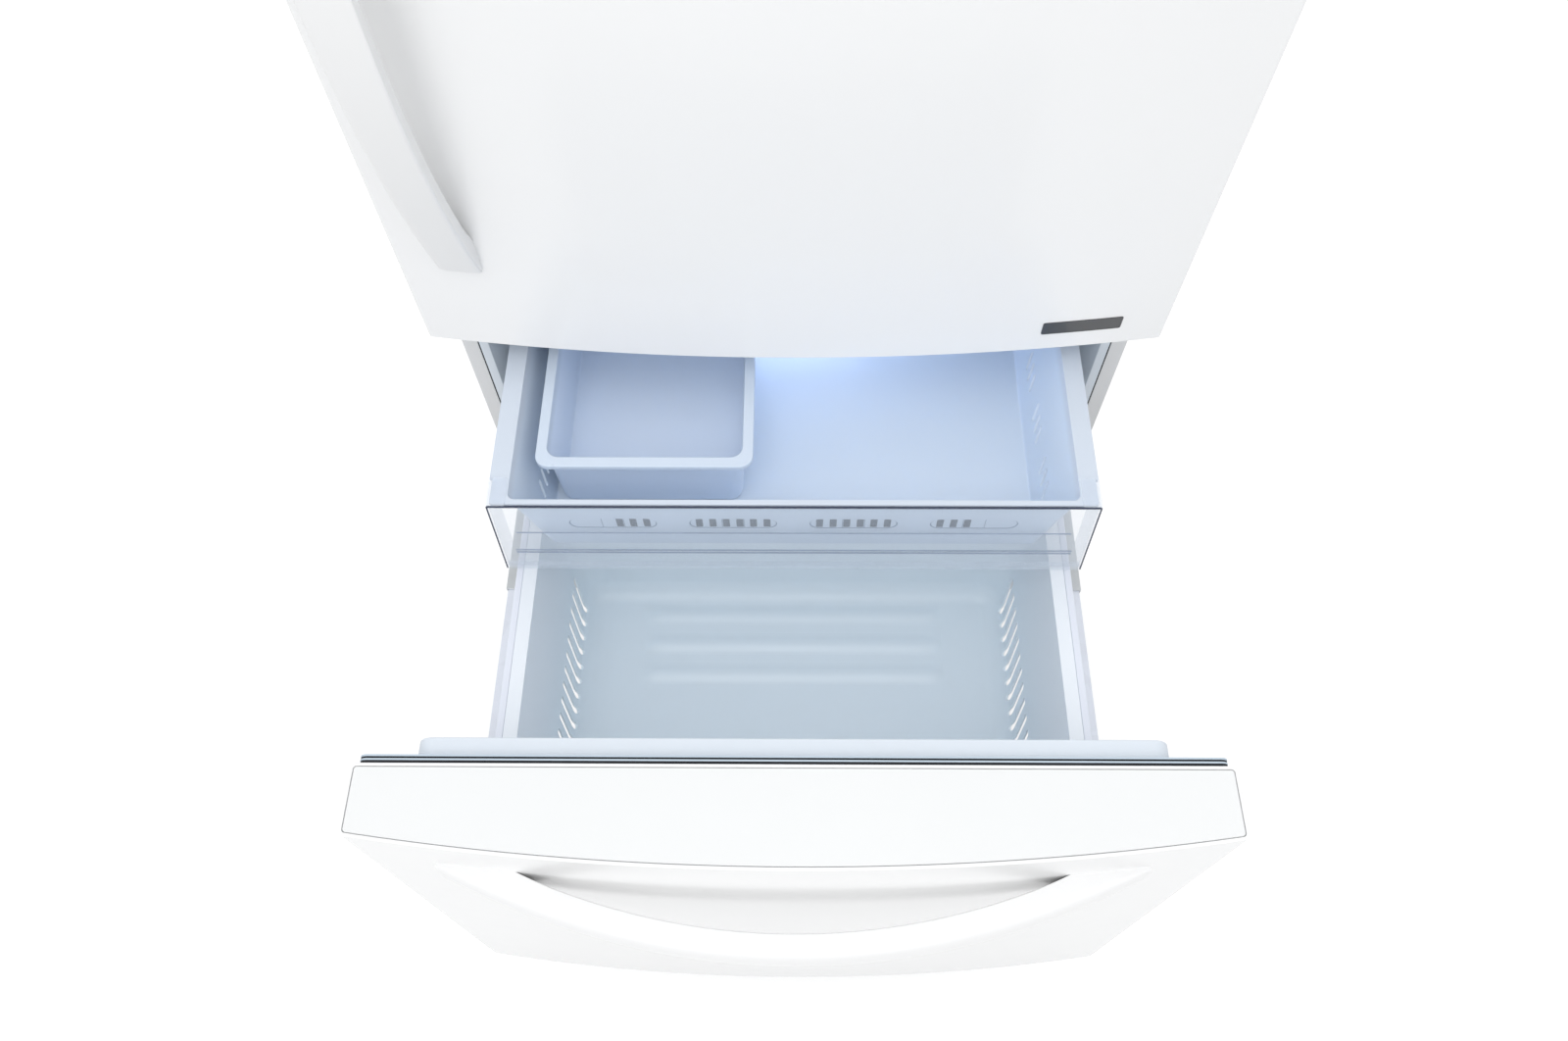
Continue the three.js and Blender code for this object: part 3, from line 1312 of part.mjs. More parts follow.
// A fan on its axle: a bored hub and pitched blades, about an axis along y.
function fan(x, y, z, radius) {
  const hub = radius * 0.28;
  let body = rod("y", [x, y, z], hub, FAN_DEPTH, 24);
  const pitch = 0.45; // the blades' twist, in radians
  for (let i = 0; i < FAN_BLADES; i += 1) {
    const blade = new THREE.BoxGeometry(radius * 0.62, 2, radius - hub + 4);
    blade.rotateZ(pitch).translate(0, 0, hub - 2 + (radius - hub + 2) / 2);
    blade.rotateY((2 * Math.PI * i) / FAN_BLADES).translate(x, y, z);
    body = body.add(solid(blade));
  }
  return body.subtract(rod("y", [x, y, z], AXLE_RADIUS + PIN_CLEARANCE, FAN_DEPTH + 2, 12));
}

// A welded can on its foot plate, with a seam round its middle, a terminal box and a pipe stub.
function compressor() {
  const x = -HALF + COMPRESSOR_INSET;
  const y = BACK_Y - COMPRESSOR_FORWARD;
  const radius = COMPRESSOR_RADIUS;
  const height = COMPRESSOR_HEIGHT;
  const low = BASE_TOP + FIT;
  const foot = 8;
  const [footX, footY] = COMPRESSOR_FEET;
  const feet = block([x - footX, y - footY, low], [x + footX, y + footY, low + foot]);
  const seam = [height / 2, height / 2 + 6];
  const profile = [
    [0, 0],
    [radius * 0.8, 0],
    [radius, height * 0.1],
    [radius, seam[0]],
    [radius * 1.04, seam[0]],
    [radius * 1.04, seam[1]],
    [radius, seam[1]],
    [radius, height * 0.77],
    [radius * 0.78, height * 0.93],
    [radius * 0.4, height],
    [0, height],
  ].map(([r, z]) => new THREE.Vector2(r, z));
  const can = new THREE.LatheGeometry(profile, 32).rotateX(Math.PI / 2).translate(x, y, low + foot - 2);
  const side = x + radius;
  const box = block([side - 12, y - 28, low + height * 0.3], [side + 22, y + 28, low + height * 0.65]);
  const stub = rod("z", [x - radius * 0.4, y - radius * 0.25, low + height], 4, 60, 12);
  return solid(can).add(feet).add(box).add(stub);
}

// The condenser: level fins on two upright tubes, which a third joins over them.
function condenserCoil() {
  const { x: centre } = CONDENSER_FAN; // it stands before the fan
  const [low, high] = CONDENSER_Z;
  const x0 = centre - CONDENSER_HALF;
  const x1 = centre + CONDENSER_HALF;
  const front = BACK_Y - CONDENSER_FORWARD;
  const back = front + CONDENSER_DEPTH;
  const fins = 7;
  const finHalf = 0.8;
  const tube = 5;
  const tubeInset = 20;
  let body = null;
  for (let i = 0; i < fins; i += 1) {
    const z = low + (i * (high - low)) / (fins - 1);
    const fin = block([x0, front, z - finHalf], [x1, back, z + finHalf]);
    body = body ? body.add(fin) : fin;
  }
  const middle = (front + back) / 2;
  const foot = BASE_TOP + FIT;
  const top = high + 14;
  for (const x of [x0 + tubeInset, x1 - tubeInset]) {
    body = body.add(rod("z", [x, middle, (foot + top) / 2], tube, top - foot, 8));
  }
  return body.add(rod("x", [centre, middle, top - tube], tube, x1 - x0 - 2 * tubeInset, 8));
}

// ---- Putting it together ----------------------------------------------------------------------------

add(cabinet, "cabinet_shell", shell, cabinetShell());
add(cabinet, "rear_panel", shell, rearPanel());
add(cabinet, "cabinet_foam", foam, cabinetFoam());
add(cabinet, "fridge_liner", liner, fridgeLiner());
add(cabinet, "freezer_liner", liner, freezerLiner());
add(cabinet, "mullion_bar", shell, mullionBar());
add(cabinet, "base_frame", galvanised, baseFrame());
add(cabinet, "base_grille", white, baseGrille());
add(cabinet, "compressor_cover", galvanised, compressorCover());
add(cabinet, "cord_inlet", black, cordInlet());
add(cabinet, "compressor", casting, compressor());
add(cabinet, "condenser_coil", copper, condenserCoil());
add(cabinet, "freezer_rear_panel", liner, freezerRearPanel());
add(cabinet, "evaporator", galvanised, evaporator());
add(cabinet, "fridge_air_duct", liner, airDuct());
add(cabinet, "control_panel", black, controlPanel());
add(cabinet, "freezer_lamp", lamp, freezerLamp());
add(cabinet, "glass_shelf_lower", glass, glassShelf(SHELF_Z[0]));
add(cabinet, "glass_shelf_upper", glass, glassShelf(SHELF_Z[1]));
add(cabinet, "crisper_cover", glass, glassShelf(CRISPER_TOP));
add(cabinet, "top_hinge", galvanised, topHinge());
add(cabinet, "top_hinge_cover", white, topHingeCover());
add(cabinet, "middle_hinge", galvanised, middleHinge());
for (const [side, hand] of [[-1, "left"], [1, "right"]]) {
  add(cabinet, `outer_slide_${hand}`, galvanised, outerSlide(side));
  add(middleSlides, `middle_slide_${hand}`, galvanised, middleSlide(side));
  add(freezerDrawer, `drawer_slide_${hand}`, galvanised, innerSlide(side));
  add(cabinet, `crisper_${hand}`, tub, crisper(side));
  add(cabinet, `levelling_leg_${hand}`, galvanised, levellingLeg(side));
  add(cabinet, `rear_roller_${hand}`, black, roller(side));
}
add(cabinet, "evaporator_fan", black, fan(0, FAN_Y, EVAPORATOR_FAN_Z, EVAPORATOR_FAN_RADIUS));
add(cabinet, "condenser_fan", black, fan(...Object.values(CONDENSER_FAN)));

const doorPin = hingeHole(DOOR_TOP, 2 * PIN_REACH + 2);
const footPin = hingeHole(DOOR_BOTTOM, 2 * PIN_REACH + 2);
add(fridgeDoor, "fridge_door_skin", white, doorSkin(DOOR_BOTTOM, DOOR_TOP));
add(fridgeDoor, "fridge_door_foam", foam, doorCore(DOOR_BOTTOM, DOOR_TOP));
add(fridgeDoor, "fridge_door_top_cap", white, endCap(DOOR_TOP - END_CAP).subtract(doorPin));
add(fridgeDoor, "fridge_door_bottom_cap", white, endCap(DOOR_BOTTOM).subtract(footPin));
add(fridgeDoor, "fridge_door_liner", liner, fridgeDoorLining());
add(fridgeDoor, "fridge_door_gasket", seal, doorSeal(DOOR_BOTTOM, DOOR_TOP, HINGE_INSET));
add(fridgeDoor, "fridge_door_handle", white, doorHandle());
add(fridgeDoor, "label_plate", casting, labelPlate());
add(fridgeDoor, "door_bin_lower", tub, doorBin(DOOR_BIN_Z[0]));
add(fridgeDoor, "door_bin_middle", tub, doorBin(DOOR_BIN_Z[1]));
add(fridgeDoor, "dairy_box", tub, dairyBox());
add(fridgeDoor, "dairy_lid", glass, dairyLid());

add(freezerDrawer, "freezer_drawer_skin", white, doorSkin(DRAWER_BOTTOM, DRAWER_TOP));
add(freezerDrawer, "freezer_drawer_foam", foam, freezerDrawerCore());
add(freezerDrawer, "freezer_drawer_top_cap", white, endCap(DRAWER_TOP - END_CAP));
add(freezerDrawer, "freezer_drawer_bottom_cap", white, endCap(DRAWER_BOTTOM));
add(freezerDrawer, "freezer_drawer_liner", liner, freezerDrawerLining());
add(freezerDrawer, "freezer_drawer_gasket", seal, doorSeal(DRAWER_BOTTOM, DRAWER_TOP, SEAL_INSET_X));
add(freezerDrawer, "freezer_drawer_handle", white, drawerHandle());
add(freezerDrawer, "freezer_basket", tub, freezerBasket());

add(upperDrawer, "upper_drawer", tub, upperTub());
add(upperDrawer, "upper_drawer_cover", smoke, clearCover());
add(upperDrawer, "ice_bin", tub, iceBin());

export default refrigerator;
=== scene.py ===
"""A bottom freezer refrigerator: the looks of its pieces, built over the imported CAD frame.

Sizes are in millimetres in the makers' working frame: x to the right, y into the refrigerator from the
doors' side edges, z up from the floor, with both drawers drawn shut. A piece of a body that stands pulled
out is moved by that body's travel when its mesh is made.
"""

import logging
import math
from collections.abc import Callable, Iterable
from dataclasses import dataclass, field
from enum import Enum

import bmesh
import bpy
from mathutils import Matrix, Vector


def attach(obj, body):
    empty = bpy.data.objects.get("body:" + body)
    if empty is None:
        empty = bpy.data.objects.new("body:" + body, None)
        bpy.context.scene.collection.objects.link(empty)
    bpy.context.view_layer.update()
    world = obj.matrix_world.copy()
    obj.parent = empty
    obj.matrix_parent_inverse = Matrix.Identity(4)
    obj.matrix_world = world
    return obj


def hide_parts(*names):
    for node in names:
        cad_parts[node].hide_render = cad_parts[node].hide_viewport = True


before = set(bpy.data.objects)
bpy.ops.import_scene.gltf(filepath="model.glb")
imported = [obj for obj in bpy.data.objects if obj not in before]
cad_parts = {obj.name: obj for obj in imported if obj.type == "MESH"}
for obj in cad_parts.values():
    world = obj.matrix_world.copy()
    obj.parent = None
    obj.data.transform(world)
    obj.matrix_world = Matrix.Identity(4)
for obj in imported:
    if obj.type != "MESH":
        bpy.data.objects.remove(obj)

LOG = logging.getLogger("refrigerator")
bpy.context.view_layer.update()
MM = 0.001
EDGE_PLANE = -72.0  # depth of the doors' side edges in the part's own frame
MERGED = 0.01  # points nearer than this are one point
SHARP = 35.0  # edges that turn by more degrees than this are rounded
UP = Vector((0.0, 0.0, 1.0))
BACKWARDS = Vector((0.0, 1.0, 0.0))
Span = tuple[float, float]
Test = Callable[[Vector, Vector], bool]


class Body(Enum):
    """The bodies that pieces made here ride on, each with the depth by which it stands pulled out."""

    CABINET = ("cabinet", 0.0)
    FRIDGE_DOOR = ("fridge_door", 0.0)
    FREEZER_DRAWER = ("freezer_drawer", -564.0)
    UPPER_DRAWER = ("upper_drawer", -310.2)
    ICE_BIN = ("ice_bin", -310.2)

    @property
    def out(self) -> float:
        """Depth by which the body stands pulled out."""
        return self.value[1]


class Axis(Enum):
    """The three directions, as places in a vector."""

    X = 0
    Y = 1
    Z = 2


# ---- Materials --------------------------------------------------------------------------------------


def linear(code: str) -> tuple[float, float, float, float]:
    """Turns a colour as written in sRGB into the renderer's linear values.

    Args:
        code: The colour as #rrggbb.

    Returns:
        Red, green, blue and 1.
    """
    parts = [int(code[i : i + 2], 16) / 255 for i in (1, 3, 5)]
    made = [p / 12.92 if p <= 0.04045 else ((p + 0.055) / 1.055) ** 2.4 for p in parts]
    return (made[0], made[1], made[2], 1.0)


class Wiring:
    """Adds and joins nodes in one node tree."""

    def __init__(self, tree: bpy.types.NodeTree) -> None:
        """Starts on a tree."""
        self.tree = tree

    def add(self, kind: str, settings: dict | None = None, **sockets: object) -> bpy.types.Node:
        """Adds a node.

        Args:
            kind: Its type without the leading ShaderNode.
            settings: Properties of the node itself.
            **sockets: Input values or output sockets to join, by input name with _ for a space.

        Returns:
            The new node.
        """
        node = self.tree.nodes.new("ShaderNode" + kind)
        for name, value in (settings or {}).items():
            setattr(node, name, value)
        for name, value in sockets.items():
            place = node.inputs[int(name[1:])] if name[0] == "i" and name[1:].isdigit() else None
            self.join(value, place or node.inputs[name.replace("_", " ")])
        return node

    def join(self, value: object, place: bpy.types.NodeSocket) -> None:
        """Links a socket to an input, or sets the input's value.

        Args:
            value: An output socket or a plain value.
            place: The input.
        """
        if isinstance(value, bpy.types.NodeSocket):
            self.tree.links.new(value, place)
        else:
            place.default_value = value

    def seen(self) -> bpy.types.NodeSocket:
        """Gives 1 where the camera looks straight, by a mirror image or through glass, and 0 elsewhere."""
        path = self.add("LightPath")
        near = self.add(
            "Math", {"operation": "MAXIMUM"}, i0=path.outputs["Is Camera Ray"], i1=path.outputs["Is Glossy Ray"]
        )
        both = self.add(
            "Math", {"operation": "MAXIMUM"}, i0=near.outputs[0], i1=path.outputs["Is Transmission Ray"]
        )
        return both.outputs[0]

    def drift(self, value: object, low: object, high: object) -> bpy.types.NodeSocket:
        """Spreads the middle of a noise between two values, and gives the socket of the result."""
        span = self.add("MapRange", None, Value=value, From_Min=0.3, From_Max=0.7, To_Min=low, To_Max=high)
        return span.outputs["Result"]

    def around(self, middle: object, spread: object) -> tuple[bpy.types.NodeSocket, bpy.types.NodeSocket]:
        """Gives the values a spread below and above a middle.

        Args:
            middle: The middle.
            spread: How far each value lies from it.

        Returns:
            The sockets of the lower and the higher value.
        """
        low = self.add("Math", {"operation": "SUBTRACT"}, i0=middle, i1=spread)
        high = self.add("Math", {"operation": "ADD"}, i0=middle, i1=spread)
        return low.outputs[0], high.outputs[0]


class Effects:
    """The shared effects, each a node group built once."""

    _made: dict[str, bpy.types.NodeTree] = {}

    @classmethod
    def group(cls, name: str) -> bpy.types.NodeTree:
        """Gives a shared effect.

        Args:
            name: grain, mottle, brush or depth.

        Returns:
            Its node group.
        """
        if name not in cls._made:
            cls._made[name] = getattr(cls, "_" + name)()
        return cls._made[name]

    @staticmethod
    def _start(name: str, ins: dict[str, object], outs: dict[str, str]) -> tuple[Wiring, bpy.types.Node]:
        """Starts a group with its sockets.

        Args:
            name: The group's name.
            ins: Input names with their usual values.
            outs: Output names with their kinds, Float or Color.

        Returns:
            The wiring of the group and its input node.
        """
        tree = bpy.data.node_groups.new(name, "ShaderNodeTree")
        for key, value in ins.items():
            kind = "NodeSocketColor" if isinstance(value, tuple) else "NodeSocketFloat"
            tree.interface.new_socket(key, in_out="INPUT", socket_type=kind).default_value = value
        for key, kind in outs.items():
            tree.interface.new_socket(key, in_out="OUTPUT", socket_type="NodeSocket" + kind)
        return Wiring(tree), tree.nodes.new("NodeGroupInput")

    @staticmethod
    def _end(wires: Wiring, **outs: bpy.types.NodeSocket) -> bpy.types.NodeTree:
        """Joins a group's outputs.

        Args:
            wires: The group's wiring.
            **outs: The sockets by output name.

        Returns:
            The finished group.
        """
        end = wires.tree.nodes.new("NodeGroupOutput")
        for key, socket in outs.items():
            wires.join(socket, end.inputs[key])
        return wires.tree

    @classmethod
    def _grain(cls) -> bpy.types.NodeTree:
        """Fine unevenness of a moulded or painted skin, as roughness and height."""
        ins = {"Scale": 400.0, "Roughness": 0.4, "Spread": 0.05}
        wires, given = cls._start("surface_grain", ins, {"Roughness": "Float", "Height": "Float"})
        at = wires.add("TexCoord").outputs["Object"]
        slow = wires.add("TexNoise", Vector=at, Scale=9.0, Detail=3.0, Roughness=0.55)
        rough = wires.drift(slow.outputs["Fac"], *wires.around(given.outputs["Roughness"], given.outputs["Spread"]))
        fine = wires.add("TexNoise", Vector=at, Scale=given.outputs["Scale"], Detail=2.0, Roughness=0.5)
        return cls._end(wires, Roughness=rough, Height=fine.outputs["Fac"])

    @classmethod
    def _mottle(cls) -> bpy.types.NodeTree:
        """A colour that drifts a little lighter and darker over a piece."""
        ins = {"Color": (0.8, 0.8, 0.8, 1.0), "Amount": 0.02, "Scale": 4.0}
        wires, given = cls._start("colour_mottle", ins, {"Color": "Color"})
        at = wires.add("TexCoord").outputs["Object"]
        noise = wires.add("TexNoise", Vector=at, Scale=given.outputs["Scale"], Detail=4.0, Roughness=0.6)
        value = wires.drift(noise.outputs["Fac"], *wires.around(1.0, given.outputs["Amount"]))
        turned = wires.add("HueSaturation", Color=given.outputs["Color"], Value=value)
        return cls._end(wires, Color=turned.outputs["Color"])

    @classmethod
    def _brush(cls) -> bpy.types.NodeTree:
        """Rolled metal: fine lines along x with soft crystal patches."""
        ins = {"Lines": 600.0, "Patches": 60.0}
        wires, given = cls._start("rolled_metal", ins, {"Height": "Float", "Patch": "Float"})
        at = wires.add("TexCoord").outputs["Object"]
        drawn = wires.add("Mapping", Vector=at, Scale=(0.02, 1.0, 1.0))
        lines = wires.add("TexNoise", Vector=drawn.outputs["Vector"], Scale=given.outputs["Lines"], Detail=2.0)
        patch = wires.add("TexVoronoi", Vector=at, Scale=given.outputs["Patches"])
        tone = wires.add("RGBToBW", Color=patch.outputs["Color"])
        return cls._end(wires, Height=lines.outputs["Fac"], Patch=tone.outputs["Val"])

    # This share is the mask of the tubs' painted light and shade: 0 below, 1 above.
    @classmethod
    def _depth(cls) -> bpy.types.NodeTree:
        """A share that goes from 0 to 1 with the height on the piece."""
        ins = {"Low": 0.0, "High": 1.0}
        wires, given = cls._start("height_share", ins, {"Share": "Float"})
        at = wires.add("TexCoord").outputs["Object"]
        parts = wires.add("SeparateXYZ", Vector=at)
        share = wires.add(
            "MapRange", {"interpolation_type": "SMOOTHSTEP"}, Value=parts.outputs["Z"],
            From_Min=given.outputs["Low"], From_Max=given.outputs["High"],
        )
        return cls._end(wires, Share=share.outputs["Result"])


@dataclass(frozen=True)
class Finish:
    """What every finish has, and how its material is put together."""

    slot: str
    colour: str
    roughness: float
    spread: float = 0.04
    mottle: float = 0.01
    grain: float = 500.0
    bump: float = 0.02
    metal: float = 0.0
    coat: float = 0.0
    alpha: float = 1.0
    glow: float = 0.0
    name: str = ""

    def material(self) -> bpy.types.Material:
        """Gives the finish's material, built once.

        Returns:
            The material.
        """
        title = self.name or self.slot
        found = bpy.data.materials.get("finish_" + title)
        if found:
            return found
        made = bpy.data.materials.new("finish_" + title)
        made.use_nodes = True
        made.node_tree.nodes.clear()
        wires = Wiring(made.node_tree)
        end = wires.add("OutputMaterial")
        shader = wires.add("BsdfPrincipled")
        wires.join(shader.outputs["BSDF"], end.inputs["Surface"])
        self.dress(wires, shader)
        made.diffuse_color = linear(self.colour)
        return made

    def dress(self, wires: Wiring, shader: bpy.types.Node) -> None:
        """Joins the shared effects to the shader.

        Args:
            wires: The material's wiring.
            shader: Its Principled shader.
        """
        plain = {"Metallic": self.metal, "Coat Weight": self.coat, "Coat Roughness": 0.08, "Alpha": self.alpha}
        for key, value in plain.items():
            shader.inputs[key].default_value = value
        mottle = wires.add(
            "Group", {"node_tree": Effects.group("mottle")}, Color=linear(self.colour), Amount=self.mottle
        )
        grain = wires.add(
            "Group", {"node_tree": Effects.group("grain")}, Scale=self.grain,
            Roughness=self.roughness, Spread=self.spread,
        )
        self.tint(wires, mottle.outputs["Color"], shader)
        wires.join(grain.outputs["Roughness"], shader.inputs["Roughness"])
        bump = wires.add("Bump", Strength=self.bump, Distance=0.0004, Height=self.height(wires, grain))
        wires.join(bump.outputs["Normal"], shader.inputs["Normal"])
        if self.glow:
            shader.inputs["Emission Color"].default_value = linear(self.colour)
            shader.inputs["Emission Strength"].default_value = self.glow

    def tint(self, wires: Wiring, colour: bpy.types.NodeSocket, shader: bpy.types.Node) -> None:
        """Joins the drifting colour to the shader; a finish with more to its colour does more here."""
        wires.join(colour, shader.inputs["Base Color"])

    def height(self, wires: Wiring, grain: bpy.types.Node) -> bpy.types.NodeSocket:
        """Gives the socket of the height that the bump reads."""
        return grain.outputs["Height"]


@dataclass(frozen=True)
class TubPlasticPaintedLight(Finish):
    """Pale translucent plastic with painted light and shade: a second colour on its lower part, the base colour on
    its upper part and rim.
    """

    # deep: the lower part's colour. Where it is lighter than the base colour it is painted light in the hollow, and
    # the base colour left on the rim is painted shade.
    deep: str = "#b4c6da"
    low: float = 0.3
    high: float = 0.55

    def tint(self, wires: Wiring, colour: bpy.types.NodeSocket, shader: bpy.types.Node) -> None:
        """Mixes the deep colour, which is painted light, in below.

        Args:
            wires: The material's wiring.
            colour: The drifting colour.
            shader: The Principled shader.
        """
        share = wires.add("Group", {"node_tree": Effects.group("depth")}, Low=self.low, High=self.high)
        mix = wires.add("Mix", {"data_type": "RGBA"}, i0=share.outputs["Share"])
        wires.join(linear(self.deep), mix.inputs[6])
        wires.join(colour, mix.inputs[7])
        wires.join(mix.outputs[2], shader.inputs["Base Color"])


@dataclass(frozen=True)
class SheetMetal(Finish):
    """Bare metal with rolling lines and soft patches."""

    metal: float = 1.0
    patches: float = 60.0
    depth: float = 0.08

    def tint(self, wires: Wiring, colour: bpy.types.NodeSocket, shader: bpy.types.Node) -> None:
        """Lightens and darkens the metal patch by patch.

        Args:
            wires: The material's wiring.
            colour: The drifting colour.
            shader: The Principled shader.
        """
        brush = wires.add("Group", {"node_tree": Effects.group("brush")}, Patches=self.patches)
        value = wires.add(
            "MapRange", None, Value=brush.outputs["Patch"], To_Min=1.0 - self.depth, To_Max=1.0 + self.depth
        )
        toned = wires.add("HueSaturation", Color=colour, Value=value.outputs["Result"])
        wires.join(toned.outputs["Color"], shader.inputs["Base Color"])

    def height(self, wires: Wiring, grain: bpy.types.Node) -> bpy.types.NodeSocket:
        """Gives the rolling lines as height."""
        return wires.add("Group", {"node_tree": Effects.group("brush")}).outputs["Height"]


# Each gives its slot, colour, roughness and how far that drifts, drift of the colour, grain and bump.
PAINT = Finish("painted_front", "#f3f3f3", 0.24, 0.01, 0.002, 260.0, 0.01, coat=0.15)
SHELL = Finish("painted_cabinet", "#e9e9e9", 0.36, 0.04, 0.006, 300.0, 0.05, coat=0.15)
HANDLE = Finish("handle_white", "#eeeeee", 0.3, 0.01, 0.002, 240.0, 0.01, coat=0.2)
CAP = Finish("white_plastic", "#e8e9e9", 0.42, 0.04, 0.006, 700.0, 0.06)
LINING = Finish("liner_plastic", "#e6edf4", 0.4, 0.05, 0.008, 600.0, 0.05)
PANEL = Finish("liner_plastic", "#dfe6ee", 0.4, 0.05, 0.008, 600.0, 0.05, name="panel_plastic")
# TUB, TRAY and BIN paint light and shade by height: the lighter deep colour below is painted light, and the darker
# base colour on the upper part and rim is painted shade.
TUB = TubPlasticPaintedLight("drawer_plastic", "#eff4fa", 0.34, 0.03, 0.004, 600.0, 0.03, deep="#eef8ff", low=0.27, high=0.52)
CARRIER = Finish("drawer_plastic", "#e8ecf6", 0.36, 0.03, 0.004, 600.0, 0.03, name="carrier_plastic")
TRAY = TubPlasticPaintedLight(
    "drawer_plastic", "#d0d9e5", 0.34, 0.03, 0.004, 600.0, 0.03, deep="#d9e5f3", low=0.668, high=0.68,
    name="tray_plastic",
)
BIN = TubPlasticPaintedLight("bin_plastic", "#cfdbea", 0.3, 0.03, 0.004, 600.0, 0.03, deep="#e2eeff", low=0.655, high=0.674)
CLEAR = Finish("clear_plastic", "#dbe4ee", 0.1, 0.03, 0.01, 500.0, 0.02, alpha=0.23, coat=0.2)
# Painted reflection: the cover's pale blue at alpha 0.2 stands in for the sky seen in the clear sheet.
COVER_REFLECTION = Finish("clear_plastic", "#eaf2fd", 0.08, 0.02, 0.004, 500.0, 0.01, alpha=0.2, name="cover_plastic")
# Painted shade: a dark navy for the clear cover's cut edges, which look dark only by how light passes through the
# sheet.
CLEAR_EDGE_SHADE = Finish("clear_plastic", "#28314a", 0.2, 0.03, 0.01, 500.0, 0.02, name="clear_edge")
# Painted shade: a grey-blue for the stiffening lines in the clear cover.
COVER_LINE_SHADE = Finish("clear_plastic", "#8494ae", 0.2, 0.03, 0.01, 500.0, 0.02, name="clear_line")
SHELF = Finish("shelf_glass", "#dfeaf0", 0.03, 0.01, 0.004, 300.0, 0.0, alpha=0.28)
SEAL = Finish("gasket_rubber", "#bccad6", 0.62, 0.05, 0.02, 800.0, 0.1)
# Painted shade: a near-black rubber for the gasket's core between its ribs and for the gap at the freezer's mouth,
# which are dark only by shade.
SEAL_GROOVE_SHADE = Finish("gasket_rubber", "#1d2026", 0.8, 0.05, 0.02, 800.0, 0.1, name="gasket_groove")
ZINC = SheetMetal("galvanised_steel", "#c4c8cb", 0.36, 0.06, 0.02, 400.0, 0.08, depth=0.04)
BAR = SheetMetal(
    "galvanised_steel", "#e2e6ee", 0.5, 0.06, 0.02, 400.0, 0.08, depth=0.03, metal=0.3, name="bar_steel"
)
ALUMINIUM = SheetMetal("aluminium", "#d6d8da", 0.3, 0.05, 0.01, 400.0, 0.06, patches=20.0)
COPPER = SheetMetal("copper", "#b87a52", 0.3, 0.06, 0.04, 400.0, 0.04, patches=30.0)
CASTING = Finish("compressor_black", "#1f2124", 0.42, 0.06, 0.06, 350.0, 0.2, coat=0.2)
# Painted shade: near-black plates at the bottom of the air holes, which stop short of the wall's far side, standing
# in for the shade seen through open holes.
HOLE_SHADE = Finish("drawer_plastic", "#1f2836", 0.6, 0.05, 0.03, 600.0, 0.05, name="screen_plastic")
# Grey-blue for the ring round each recess, painted shade along its edge, and for the two lines across each recess.
RECESS_SHADE_AND_LINES = Finish("drawer_plastic", "#687d99", 0.5, 0.05, 0.01, 600.0, 0.03, name="outline_plastic")
BLACK = Finish("black_plastic", "#26282b", 0.5, 0.05, 0.03, 700.0, 0.12)
FOAM = Finish("foam", "#e5dcae", 0.9, 0.05, 0.06, 240.0, 0.6)
PLATE = Finish("label_dark", "#37393c", 0.3, 0.04, 0.03, 900.0, 0.05, coat=0.4)
LENS = Finish("lamp_lens", "#dfe9ff", 0.3, 0.04, 0.01, 500.0, 0.05, glow=10.0)


# ---- Making and placing meshes ----------------------------------------------------------------------


def points_of(geom: Iterable) -> list[bmesh.types.BMVert]:
    """Picks the points out of what a bmesh operator made."""
    return [v for v in geom if isinstance(v, bmesh.types.BMVert)]


def sided(side: int, a: float, b: float) -> Span:
    """Gives a span of the right-hand side, or its mirror image when the side is -1."""
    low, high = sorted((side * a, side * b))
    return (low, high)


